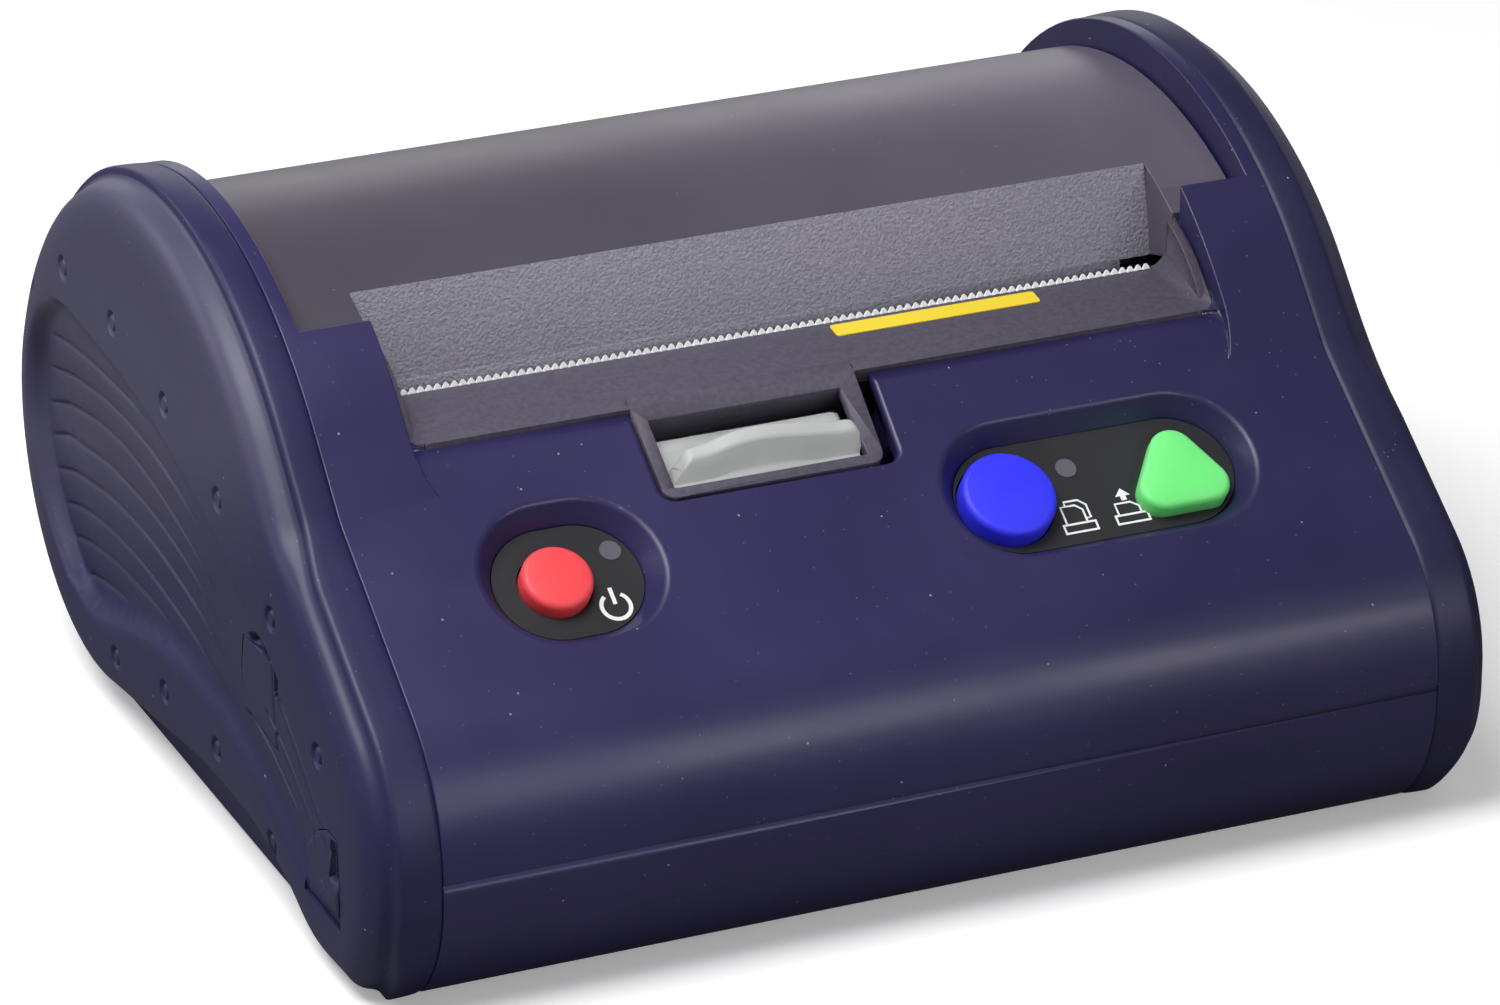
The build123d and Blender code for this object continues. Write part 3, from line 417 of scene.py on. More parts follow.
# The sanded wall's colour is painted darker towards the right end, as painted shade.
RECESS = skin(
    "recess_texture", (148, 145, 160), (166, 163, 178), 0.62, grain=2300.0, depth=0.2, gloss=0.4,
    cloud_size=1900.0, painted_end_light=0.7,
)
BLADE = skin("blade_steel_skin", (244, 244, 246), (232, 232, 236), 0.3, depth=0.002)
PRINT = skin("white_print", (232, 234, 232), (240, 242, 240), 0.6, depth=0.003, gloss=0.2)
for part in frame["record"]["subparts"]:
    for holder in NODES[part["node"]].material_slots:
        holder.material = FINISHES[part["material_slot"]]


# Mesh helpers
MERGE_GAP = 1e-6
CAD_MERGE_GAP = 3e-6
THIN_CORNER = 12.0
ROUND_SEGMENTS = 2
STRAY_REACH = 1.7
HOME_REACH = 1.4
NORMALS_WEIGHT = 80


def new_piece(name, points, faces, finish, smooth_angle=40.0):
    """Mesh from points in millimetres, with outward faces."""
    mesh = bpy.data.meshes.new(name)
    mesh.from_pydata([tuple(float(v) * MM for v in p) for p in points], [], faces)
    mesh.materials.append(finish)
    tidy_normals(mesh)
    piece = bpy.data.objects.new(name, mesh)
    SCENE.collection.objects.link(piece)
    shade(mesh, smooth_angle)
    return piece


def tidy_normals(mesh):
    work = bmesh.new()
    work.from_mesh(mesh)
    bmesh.ops.remove_doubles(work, verts=work.verts, dist=MERGE_GAP)
    bmesh.ops.recalc_face_normals(work, faces=work.faces)
    work.to_mesh(mesh)
    work.free()


def shade(mesh, angle):
    mesh.shade_smooth()
    mesh.set_sharp_from_angle(angle=radians(angle))


def finish_modifiers(piece):
    """The piece's modifiers become part of its mesh."""
    graph = bpy.context.evaluated_depsgraph_get()
    made = bpy.data.meshes.new_from_object(
        piece.evaluated_get(graph), preserve_all_data_layers=True, depsgraph=graph
    )
    piece.modifiers.clear()
    before = piece.data
    piece.data = made
    made.name = piece.name
    bpy.data.meshes.remove(before)


def band_faces(rows, count):
    """Quads between rings of points that follow each other."""
    ahead = [(i, (i + 1) % count) for i in range(count)]
    return [
        (row * count + i, row * count + j, (row + 1) * count + j, (row + 1) * count + i)
        for row in range(rows - 1) for i, j in ahead
    ]


def prism_faces(count):
    """Two end faces of count points each, and the sides between them."""
    return [tuple(range(count)), tuple(range(count, 2 * count)), *band_faces(2, count)]


def swept(name, sections, finish, smooth_angle):
    """Closed bar through a row of equal cross-sections."""
    count = len(sections[0])
    points = [p for section in sections for p in section]
    last = (len(sections) - 1) * count
    faces = band_faces(len(sections), count)
    faces += [tuple(range(count)), tuple(range(last, last + count))]
    return new_piece(name, points, faces, finish, smooth_angle)


def put_on(piece, *nodes):
    """The piece stands for CAD nodes, and moves with their body."""
    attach(piece, NODES[nodes[0]]["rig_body"])
    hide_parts(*nodes)


def pull_in(work, corners, reach):
    """Points that the rounding has thrown far along an edge come back to the corner they grew from."""
    for vert in work.verts:
        if corners.find(vert.co)[2] < STRAY_REACH * reach:
            continue
        found = [corners.find(edge.other_vert(vert).co) for edge in vert.link_edges]
        homes = [place for place, _, gap in found if gap < STRAY_REACH * reach]
        if homes:
            home = min(homes, key=lambda place: (vert.co - place).length)
            vert.co = home + (vert.co - home).normalized() * reach


def in_sliver(edge):
    """Whether an edge meets its neighbours at a very thin corner."""
    ends = [loop for first in edge.link_loops for loop in (first, first.link_loop_next)]
    return any(loop.calc_angle() < radians(THIN_CORNER) for loop in ends)


def softened(node, width, angle=30.0):
    """A CAD piece with its sharp edges broken by a small round."""
    mesh = NODES[node].data.copy()
    work = bmesh.new()
    work.from_mesh(mesh)
    bmesh.ops.remove_doubles(work, verts=work.verts, dist=CAD_MERGE_GAP)
    corners = KDTree(len(work.verts))
    for i, vert in enumerate(work.verts):
        corners.insert(vert.co, i)
    corners.balance()
    sharp = [
        e for e in work.edges
        if len(e.link_faces) == 2 and e.calc_face_angle() > radians(angle) and not in_sliver(e)
    ]
    bmesh.ops.bevel(
        work, geom=sharp, offset=width * MM, offset_type="OFFSET", segments=ROUND_SEGMENTS, profile=0.5,
        affect="EDGES", clamp_overlap=False,
    )
    pull_in(work, corners, HOME_REACH * width * MM)
    work.to_mesh(mesh)
    work.free()
    piece = bpy.data.objects.new("soft_" + node, mesh)
    SCENE.collection.objects.link(piece)
    shade(mesh, 180.0)
    normals = piece.modifiers.new("normals", "WEIGHTED_NORMAL")
    normals.weight = NORMALS_WEIGHT
    finish_modifiers(piece)
    put_on(piece, node)
    return piece


# Side outlines of the casing and of the domed cap faces
REAR_CENTRE = polar(BARREL_CENTRE, BARREL_R - REAR_R, REAR_ANGLE)
NOSE_CENTRE = panel_spot(0, NOSE_TOP_ALONG_PANEL, -NOSE_R)[1:]
NOSE_LOW_CENTRE = (NOSE_CENTRE[0], NOSE_CENTRE[1] - NOSE_FLAT)
CREASE = panel_spot(0, (CREASE_Y - PANEL_FOOT[0]) / UP_PANEL[0], 0.0)[1:]
CREASE_REACH = hypot(CREASE[0] - BARREL_CENTRE[0], CREASE[1] - BARREL_CENTRE[1])
EAR_ANGLE = 180 - degrees(asin((CREASE[1] - BARREL_CENTRE[1]) / CREASE_REACH))
EAR_ANGLE = EAR_ANGLE - degrees(acos(BARREL_R / CREASE_REACH))
OUT_EAR = (cos(radians(EAR_ANGLE)), sin(radians(EAR_ANGLE)))
CHIN_END = 236.0
DOME_START = -100.0
ARCH = [(-48.0, 1.6), (-38.0, 5.3), (-25.0, 8.1), (-6.0, 8.2), (12.0, 6.2)]
ARC_COUNTS = {
    "panel": 24, "nose": 34, "flat": 3, "chin": 26, "under": 80, "rear": 64, "barrel": 84, "ear": 14,
}
CREASE_WIDTH = 14.0
CREASE_PASSES = (2, 70)
CREASE_EASED = (1.4, 4.0)


def inset_crease(inset):
    """The corner between panel and ear on an outline moved inward."""
    turn = 1 + OUT_PANEL[0] * OUT_EAR[0] + OUT_PANEL[1] * OUT_EAR[1]
    return (
        CREASE[0] - inset * (OUT_PANEL[0] + OUT_EAR[0]) / turn,
        CREASE[1] - inset * (OUT_PANEL[1] + OUT_EAR[1]) / turn,
    )


def straight(a, b, count):
    """Points from a towards b, which is left out."""
    t = np.linspace(0, 1, count + 1)[:-1, None]
    return np.array(a) * (1 - t) + np.array(b) * t


def swung(centre, radius, start, end, count):
    """Points along an arc, its end left out."""
    t = np.radians(np.linspace(start, end, count + 1)[:-1])
    return np.column_stack([centre[0] + radius * np.cos(t), centre[1] + radius * np.sin(t)])


def through(points, step=1.0):
    """Smooth curve through points, as points about one step apart."""
    p = np.array(points, float)
    p = np.vstack([2 * p[0] - p[1], p, 2 * p[-1] - p[-2]])
    out = []
    for a, b, c, d in zip(p[:-3], p[1:-2], p[2:-1], p[3:]):
        count = max(1, int(round(np.linalg.norm(c - b) / step)))
        for t in np.arange(count) / count:
            out.append(
                0.5 * (2 * b + (c - a) * t + (2 * a - 5 * b + 4 * c - d) * t**2
                       + (3 * b - a - 3 * c + d) * t**3)
            )
    out.append(p[-2])
    return np.array(out)


def resampled(points, count):
    """The same line with count evenly spaced points, its last one left out."""
    steps = np.linalg.norm(np.diff(points, axis=0), axis=1)
    run = np.concatenate([[0], np.cumsum(steps)])
    at = np.linspace(0, run[-1], count + 1)[:-1]
    return np.column_stack([np.interp(at, run, points[:, i]) for i in range(points.shape[1])])


def cap_ring(inset, hollow):
    """Side outline moved inward by inset; hollow 0 is the casing's flat foot, 1 the cap's arched one."""
    n = ARC_COUNTS
    crease = inset_crease(inset)
    nose_r, barrel_r = NOSE_R - inset, BARREL_R - inset
    lean = 90 + PANEL_SLOPE
    floor = BASE_Z + inset
    flat_nose = 180 + degrees(asin(min(1, (NOSE_LOW_CENTRE[1] - floor) / nose_r)))
    flat_rear = -degrees(asin(min(1, (REAR_CENTRE[1] - floor) / (REAR_R - inset))))
    rise = inset - DOME_INSET
    dome_r = DOME_REAR_R - rise
    dome_centre = polar(BARREL_CENTRE, barrel_r - dome_r, REAR_ANGLE)
    arch = [
        polar(NOSE_LOW_CENTRE, nose_r, CHIN_END), *((y, z + rise) for y, z in ARCH),
        polar(dome_centre, dome_r, DOME_START),
    ]
    shared = [
        straight(crease, polar(NOSE_CENTRE, nose_r, lean), n["panel"]),
        swung(NOSE_CENTRE, nose_r, lean, 180, n["nose"]),
        straight(polar(NOSE_CENTRE, nose_r, 180), polar(NOSE_LOW_CENTRE, nose_r, 180), n["flat"]),
    ]
    chin_flat = polar(NOSE_LOW_CENTRE, nose_r, flat_nose)
    flat = [
        swung(NOSE_LOW_CENTRE, nose_r, 180, flat_nose, n["chin"]),
        straight(chin_flat, polar(REAR_CENTRE, REAR_R - inset, flat_rear), n["under"]),
        swung(REAR_CENTRE, REAR_R - inset, flat_rear, REAR_ANGLE, n["rear"]),
    ]
    arched = [
        swung(NOSE_LOW_CENTRE, nose_r, 180, CHIN_END, n["chin"]),
        resampled(through(arch, 0.5), n["under"]),
        swung(dome_centre, dome_r, DOME_START, REAR_ANGLE, n["rear"]),
    ]
    middle = [a * (1 - hollow) + b * hollow for a, b in zip(flat, arched)]
    top = [
        swung(BARREL_CENTRE, barrel_r, REAR_ANGLE, EAR_ANGLE, n["barrel"]),
        straight(polar(BARREL_CENTRE, barrel_r, EAR_ANGLE), crease, n["ear"]),
    ]
    return eased_crease(np.vstack(shared + middle + top), inset)


def eased_crease(ring, inset):
    """Rounds the hollow corner between panel and ear, the more the further in it lies."""
    near = ease(1.25 - np.linalg.norm(ring - ring[0], axis=1) / CREASE_WIDTH)[:, None]
    for _ in range(int(CREASE_PASSES[0] + CREASE_PASSES[1] * ramp(inset, *CREASE_EASED))):
        middle = (np.roll(ring, 1, axis=0) + np.roll(ring, -1, axis=0)) / 2
        ring = ring + near * (middle - ring) * 0.5
    return ring


def line_distance(points, line):
    """Distance from each point to a line of points, and how far along it the nearest spot is."""
    best = np.full(len(points), 1e9)
    along = np.zeros(len(points))
    run = 0.0
    for a, b in zip(line[:-1], line[1:]):
        ab = b - a
        length = np.linalg.norm(ab)
        t = np.clip(((points - a) @ ab) / max(length**2, 1e-12), 0, 1)
        gap = np.linalg.norm(points - a - t[:, None] * ab, axis=1)
        closer = gap < best
        best[closer] = gap[closer]
        along[closer] = run + t[closer] * length
        run += length
    return best, along / run


def loop_distance(points, loop):
    """Distance from each point to a closed loop."""
    return line_distance(points, np.vstack([loop, loop[:1]]))[0]


def inside(points, loop):
    """Which points lie inside a closed loop."""
    x, y = points[:, 0], points[:, 1]
    result = np.zeros(len(points), bool)
    for (x0, y0), (x1, y1) in zip(loop, np.roll(loop, -1, axis=0)):
        crosses = (y0 > y) != (y1 > y)
        if y1 != y0:
            result ^= crosses & (x < (x1 - x0) * (y - y0) / (y1 - y0) + x0)
    return result


# End caps: a bead round the casing, a soft valley, and a domed face with a fan of terraces.
# Their side profile is given as (how far out, how far in from the casing's outline).
CAP_PROFILE = [
    (70.72, 0.30), (70.92, 0.06), (71.4, -0.08), (72.4, -0.16), (73.6, -0.22), (74.7, -0.24), (75.15, -0.18),
    (75.4, 0.0), (75.52, 0.30), (75.66, 0.75), (75.86, 1.15), (76.15, 1.42), (76.6, 1.60), (77.2, 1.78),
    (77.8, 2.05), (78.35, 2.42), (78.85, 2.95), (79.25, 3.55), (79.52, 4.15), (79.68, 4.75),
]
NOSE_STRIP_MORE = 1.25
STRIP_BEGINS, STRIP_ENDS = (71.0, 3.0), (79.5, -3.0)
STRIP_NOSEWARD, STRIP_UPWARD = (-36.0, -10.0), (2.0, 10.0)
HOLLOW_FROM, HOLLOW_BY = 75.0, 1.5
FACE_CROWN = [
    (4.75, 79.68), (5.6, 79.88), (7.0, 80.06), (9.0, 80.20), (14.0, 80.36), (24.0, 80.46), (60.0, 80.5),
]
FACE_EDGE = CAP_PROFILE[-1]
DOME_PROFILE_START = 9
CAP_SHELL = 1.5
GRID_STEP = 1.15
ROW_STEP = 0.866
GRID_CLEAR = 0.7
LAID_CLEAR = 0.13
HOLE_STEP = 0.7
EDGE_CLEAR, HOLE_CLEAR = 0.4, 0.12
SAME_SPOT = 1e-5
GRID_END_Y, GRID_END_Z = 75, 86
CROWN = 1.1
CROWN_Z = 40.0
CROWN_START = 12.0

# The fan: its outer edges, the top of its lower band, and its ribs, as (Y, Z) on the cap's face
FAN_TOP = [(48.0, 56.2), (43.6, 57.1), (36.0, 56.9), (22.0, 56.3), (6.3, 54.2), (-8.0, 50.6), (-20.4, 46.3),
           (-30.7, 41.8), (-38.6, 37.4), (-47.0, 31.2), (-54.5, 25.0), (-60.7, 16.1)]
FAN_REAR = [(48.0, 56.2), (54.5, 52.4), (58.3, 48.3), (60.6, 44.0), (61.7, 39.2), (61.6, 34.8), (60.2, 30.0),
            (58.0, 25.3), (55.2, 21.3), (51.4, 17.6), (46.8, 14.6), (43.7, 13.3)]
FAN_FOOT = [(43.7, 13.3), (38.2, 12.6), (32.7, 13.4), (26.0, 15.3), (18.2, 17.7), (11.0, 19.2), (4.3, 20.0),
            (-4.0, 20.4), (-13.1, 20.0), (-20.0, 19.1), (-28.8, 17.1), (-36.0, 14.8), (-43.9, 11.9),
            (-48.0, 9.6)]
BAND_TOP = [(41.1, 16.1), (36.8, 15.9), (30.1, 17.4), (22.3, 19.7), (14.7, 21.4), (8.3, 22.3), (1.0, 23.0),
            (-6.2, 23.4), (-12.3, 23.3), (-19.0, 22.9), (-26.1, 21.9), (-33.0, 20.5), (-43.3, 17.6)]
FAN_RIBS = [
    [(53.6, 48.1), (46.4, 50.0), (39.5, 51.2), (31.7, 52.2), (23.3, 52.8), (15.1, 53.1), (6.0, 52.6)],
    [(57.0, 41.9), (46.2, 45.1), (37.4, 47.0), (28.0, 48.5), (17.0, 49.1), (5.8, 48.6), (-8.5, 46.0),
     (-17.0, 43.6)],
    [(58.6, 36.0), (49.5, 39.3), (41.6, 41.3), (33.0, 43.0), (22.0, 44.0), (10.5, 43.4), (0.3, 41.8),
     (-12.0, 39.0), (-22.0, 35.6)],
    [(58.2, 31.2), (51.3, 33.9), (44.4, 35.4), (35.5, 37.0), (27.0, 37.9), (15.1, 38.2), (3.8, 37.4),
     (-8.3, 35.3), (-21.8, 31.6)],
    [(56.4, 26.8), (48.5, 29.5), (40.5, 31.3), (32.0, 32.7), (21.0, 33.5), (10.0, 33.2), (-2.0, 31.7),
     (-12.0, 29.9), (-21.8, 27.4)],
    [(53.2, 22.8), (45.6, 25.3), (37.7, 26.9), (28.0, 28.0), (17.2, 28.2), (4.7, 27.3), (-7.4, 25.6),
     (-17.3, 23.8)],
    [(49.6, 19.2), (41.6, 21.5), (34.9, 22.7), (26.0, 23.6), (14.4, 24.1), (2.0, 23.9)],
    [(42.8, 16.3), (36.5, 17.8), (31.0, 18.7), (24.5, 19.7)],
    [(-38.6, 33.4), (-45.0, 28.9), (-52.0, 23.2), (-56.6, 18.6)],
    [(-33.0, 29.3), (-40.5, 26.0), (-47.0, 21.9), (-52.4, 17.6)],
    [(-24.0, 25.4), (-33.0, 23.4), (-41.0, 20.3), (-46.5, 16.9)],
]
STUDS = [(58.7, 54.9), (42.9, 62.4), (22.8, 61.9), (2.1, 58.2), (-18.1, 52.8), (-37.1, 43.9), (-53.2, 31.7),
         (65.7, 38.1), (26.7, 10.9), (6.4, 14.6), (-14.1, 15.2), (-34.5, 10.8)]
STUD_RINGS = [0.0, 0.5, 0.85, 1.1, 1.35, 1.6, 1.85, 2.2]
STUD_POINTS = 20
STUD_R = 1.35
STUD_GROOVE = (0.6, 0.30)
STUD_DISH = (0.12, 0.9)

# Depths on the face: the fan's first step and its slope along Y, and the width of its lower band
FAN_STEP = ([-60, -40, -20, 5, 25, 40, 50], [0.35, 0.42, 0.42, 0.25, 0.30, 0.7, 1.3])
FAN_SLOPE = ([-60, -40, -20, 0, 30, 50], [0.3, 0.6, 1.0, 1.45, 1.65, 1.4])
FAN_BAND = ([-48, -30, 0, 20, 40], [2.6, 3.6, 3.3, 2.6, 3.0])
FAN_STEP_WIDTH, FAN_SLOPE_WIDTH, FAN_REAR_WIDTH = 0.8, 20.0, 2.3
FAN_MIDDLE = (8.0, 32.0)
RIB_GROOVE = (0.5, 0.30)
RIB_SWELL = (0.05, 1.1)
RIB_SPREAD = (-0.62, -0.36, -0.16, 0.0, 0.16, 0.36, 0.62)
RIB_FADE_IN, RIB_FADE_OUT = (12, 0.3), 3.5
FAN_EDGES = [
    (FAN_TOP, (-0.3, 0.0, 0.3, 0.6, 0.9)), (FAN_REAR, (0.0, 0.5, 1.0, 1.5, 2.0, 2.5)), (FAN_FOOT, (0.0, 0.7)),
    (BAND_TOP, (0.0,)),
]

# Port flaps: outlines, finger hollows, edges and feet, and the grid of their mesh
REAR_FLAP = np.array([(-23.2, 25.0), (-23.2, 31.0), (-25.5, 36.7), (-36.7, 37.6), (-36.7, 25.0)])
FRONT_FLAP = np.array(
    [(-46.9, 9.9), (-46.9, 16.4), (-52.0, 20.6), (-56.4, 22.6), (-59.6, 22.6), (-59.6, 9.9)]
)
REAR_HOLLOW = np.array(
    [(-25.3, 36.9), (-30.6, 39.4), (-34.0, 39.0), (-38.9, 36.6), (-38.3, 32.6), (-37.2, 32.8), (-37.2, 37.2)]
)
FRONT_HOLLOW = np.array([(-58.0, 22.2), (-59.4, 22.4), (-59.3, 15.6), (-55.6, 15.2)])
HOLLOW_DEPTH, HOLLOW_EDGE = 1.1, 0.45
HOLLOW_STEP, HOLLOW_INNER = 0.6, 0.22
FLAP_GAP = 0.14
FLAP_CHAMFER, FLAP_CHAMFER_WIDTH = 0.14, 0.25
FLAP_RIM = 0.25
FLAP_CLEAR = 0.5
FLAP_GRID_Y, FLAP_GRID_Z, FLAP_GRID_STEP = (-62, -20), (8, 40), 0.8
FLAP_FOOT_UP = (0.0, 0.25, 1.5, 2.4)
FLAP_FOOT_OUT = (79.45, 79.65, 79.7, 82.0)
FLAP_BACK = -78.4


def profile_out(inset):
    """How far out the cap's surface lies, without its fan."""
    table = [(i, x) for x, i in CAP_PROFILE[DOME_PROFILE_START:-1]] + FACE_CROWN
    insets, outs = zip(*table)
    return np.interp(inset, insets, outs)


def bump_at(distance, height, width):
    """Rounded ridge or groove about a line, as a height over its distance."""
    return height * np.exp(-((distance / width) ** 2))


def fan_depth(points, flaps):
    """How deep the fan, its ribs, the studs and the flaps' hollows lie below the plain face."""
    top, rear, foot = (through(line) for line in (FAN_TOP, FAN_REAR, FAN_FOOT))
    loop = np.vstack([top[::-1], rear[1:], foot[1:]])
    within = inside(points, loop)
    from_top, from_rear, from_foot = (line_distance(points, line)[0] for line in (top, rear, foot))
    y = points[:, 0]
    floor = np.interp(y, *FAN_STEP) * ease(from_top / FAN_STEP_WIDTH)
    floor += np.interp(y, *FAN_SLOPE) * ease(from_top / FAN_SLOPE_WIDTH)
    ends = ease(from_rear / FAN_REAR_WIDTH) * ease(from_foot / np.interp(y, *FAN_BAND))
    depth = np.where(within, floor * ends, 0.0)
    for rib in FAN_RIBS:
        gap, along = line_distance(points, through(rib))
        fade = ease(along * RIB_FADE_IN[0] + RIB_FADE_IN[1]) * ease((1 - along) * RIB_FADE_OUT) * within
        depth += fade * (bump_at(gap, *RIB_GROOVE) - bump_at(gap, *RIB_SWELL))
    for stud in STUDS:
        r = np.linalg.norm(points - np.array(stud), axis=1)
        depth += bump_at(r - STUD_R, *STUD_GROOVE) + bump_at(r, *STUD_DISH)
    if flaps:
        for hollow in (REAR_HOLLOW, FRONT_HOLLOW):
            depth += HOLLOW_DEPTH * inside(points, hollow) * ease(loop_distance(points, hollow) / HOLLOW_EDGE)
    return depth


def feature_points(flaps):
    """Mesh points laid along the fan's edges, ribs and studs, so that they stay crisp."""
    found = []
    for line, offsets in FAN_EDGES:
        curve = through(line)
        side = across(np.gradient(curve, axis=0))
        side *= np.sign(np.sum((np.array(FAN_MIDDLE) - curve) * side, axis=1))[:, None]
        found += [curve + side * o for o in offsets]
    for rib in FAN_RIBS:
        curve = through(rib, 0.8)
        found += [curve + across(np.gradient(curve, axis=0)) * o for o in RIB_SPREAD]
    for stud in STUDS:
        for i, r in enumerate(STUD_RINGS):
            count = 1 if r == 0 else STUD_POINTS
            t = (np.arange(count) + 0.5 * (i % 2)) * 2 * pi / count
            found.append(np.array(stud) + r * np.column_stack([np.cos(t), np.sin(t)]))
    if flaps:
        for hollow in (REAR_HOLLOW, FRONT_HOLLOW):
            dense = dense_loop(hollow, HOLLOW_STEP)
            found += [dense, dense + (hollow.mean(axis=0) - dense) * HOLLOW_INNER]
    return np.vstack(found)


def dense_loop(loop, step):
    """Points along a closed loop's sides."""
    out = []
    for a, b in zip(loop, np.roll(loop, -1, axis=0)):
        count = max(1, int(round(np.linalg.norm(b - a) / step)))
        out += [a + (b - a) * i / count for i in range(count)]
    return np.array(out)


def across(run):
    """Unit vectors a quarter turn clockwise from the steps of a line."""
    return np.column_stack([run[:, 1], -run[:, 0]]) / np.linalg.norm(run, axis=1)[:, None]


def mitred(back, ahead):
    """How each corner between two steps of a line moves when the line moves sideways by one."""
    a, b = across(back), across(ahead)
    return (a + b) / np.sum((a + b) * a, axis=1)[:, None]


def grown(loop, by):
    """A loop moved outward by a distance, corner by corner."""
    loop = np.array(loop)
    before, after = np.roll(loop, 1, axis=0), np.roll(loop, -1, axis=0)
    area = np.sum(loop[:, 0] * after[:, 1] - after[:, 0] * loop[:, 1])
    return loop + by * (1 if area > 0 else -1) * mitred(loop - before, after - loop)


def spaced_out(points, gap, laid=None):
    """Points that stay clear of the ones already laid or, if none are, of each other."""
    kept, cell = [], {}
    for p in [] if laid is None else laid:
        cell.setdefault((int(p[0] // gap), int(p[1] // gap)), []).append(p)
    for p in points:
        i, j = int(p[0] // gap), int(p[1] // gap)
        near = [q for di in (-1, 0, 1) for dj in (-1, 0, 1) for q in cell.get((i + di, j + dj), [])]
        if all(hypot(p[0] - q[0], p[1] - q[1]) > gap for q in near):
            kept.append(p)
            if laid is None:
                cell.setdefault((i, j), []).append(p)
    return np.array(kept)


def triangulated(outer, holes, free):
    """Triangles inside a loop, around holes, that use free points."""
    points, edges = [], []
    for loop in [outer] + holes:
        start = len(points)
        points += [tuple(p) for p in loop]
        edges += [(start + i, start + (i + 1) % len(loop)) for i in range(len(loop))]
    fixed = len(points)
    points += [tuple(p) for p in free]
    made = delaunay_2d_cdt([Vector(p) for p in points], edges, [], 0, SAME_SPOT)
    flat = np.array([tuple(v) for v in made[0]])
    faces = np.array([tuple(f) for f in made[2]])
    middle = flat[faces].mean(axis=1)
    keep = inside(middle, np.array(outer))
    for hole in holes:
        keep &= ~inside(middle, np.array(hole))
    return flat, faces[keep], fixed


def cap_rings():
    """The rings of the cap's bead and valley, and how far out each ring's points lie."""
    rings, outs = [], []
    for out, inset in CAP_PROFILE:
        ring = cap_ring(inset, float(ease(inset / HOLLOW_BY)) if out > HOLLOW_FROM else 0.0)
        rings.append(ring)
        widened = ramp(out, *STRIP_BEGINS) * ramp(out, *STRIP_ENDS) * NOSE_STRIP_MORE
        outs.append(out + widened * ramp(ring[:, 0], *STRIP_NOSEWARD) * ramp(ring[:, 1], *STRIP_UPWARD))
    return rings, outs


def face_points(flaps, edge, holes):
    """Mesh points on the cap's face: along its features, and an even grid between them."""
    laid = spaced_out(feature_points(flaps), LAID_CLEAR)
    clear = inside(laid, edge) & (loop_distance(laid, edge) > EDGE_CLEAR)
    for hole in holes:
        clear &= ~inside(laid, hole) & (loop_distance(laid, hole) > HOLE_CLEAR)
    laid = laid[clear]
    ys = np.arange(-GRID_END_Y, GRID_END_Y, GRID_STEP)
    zs = np.arange(0, GRID_END_Z, GRID_STEP * ROW_STEP)
    grid = np.array([(y + (0.5 * GRID_STEP if k % 2 else 0), z) for k, z in enumerate(zs) for y in ys])
    grid = grid[inside(grid, edge)]
    return np.vstack([laid, spaced_out(grid, GRID_CLEAR, np.vstack([laid, edge] + holes))])


def cap_shell(name, side, flaps):
    """One end cap as a shell. Side -1 is the left one."""
    rings, outs = cap_rings()
    count = len(rings[0])
    edge = rings[-1]
    holes = []
    if flaps:
        holes = [dense_loop(grown(flap, FLAP_GAP), HOLE_STEP) for flap in (REAR_FLAP, FRONT_FLAP)]
    flat, faces, _ = triangulated(edge, holes, face_points(flaps, edge, holes))
    from_edge = loop_distance(flat, cap_ring(0.0, 1.0))
    height = profile_out(from_edge)
    crowned = ((flat[:, 1] - CROWN_Z) / CROWN_Z) ** 2 * ramp(from_edge, FACE_EDGE[1], CROWN_START)
    height = height - CROWN * crowned
    height[:count] = FACE_EDGE[0]
    height = height - fan_depth(flat, flaps)
    points = []
    for ring, out in zip(rings[:-1], outs[:-1]):
        points += [(side * x, y, z) for (y, z), x in zip(ring, out)]
    shift = len(points)
    points += [(side * x, y, z) for (y, z), x in zip(flat, height)]
    quads = band_faces(len(rings), count)
    quads += [tuple(int(v) + shift for v in face) for face in faces]
    piece = new_piece(name, points, quads, FINISHES["cap_rubber"], 50.0)
    face_outward(piece.data, Vector((side, 0, 0)))
    wall = piece.modifiers.new("wall", "SOLIDIFY")
    wall.thickness = CAP_SHELL * MM
    wall.offset = -1.0
    finish_modifiers(piece)
    shade(piece.data, 42.0)
    return piece


def face_outward(mesh, direction):
    """Turns an open sheet over if its faces look against the direction."""
    total = sum((p.normal * p.area for p in mesh.polygons), Vector())
    if total.dot(direction) < 0:
        mesh.flip_normals()


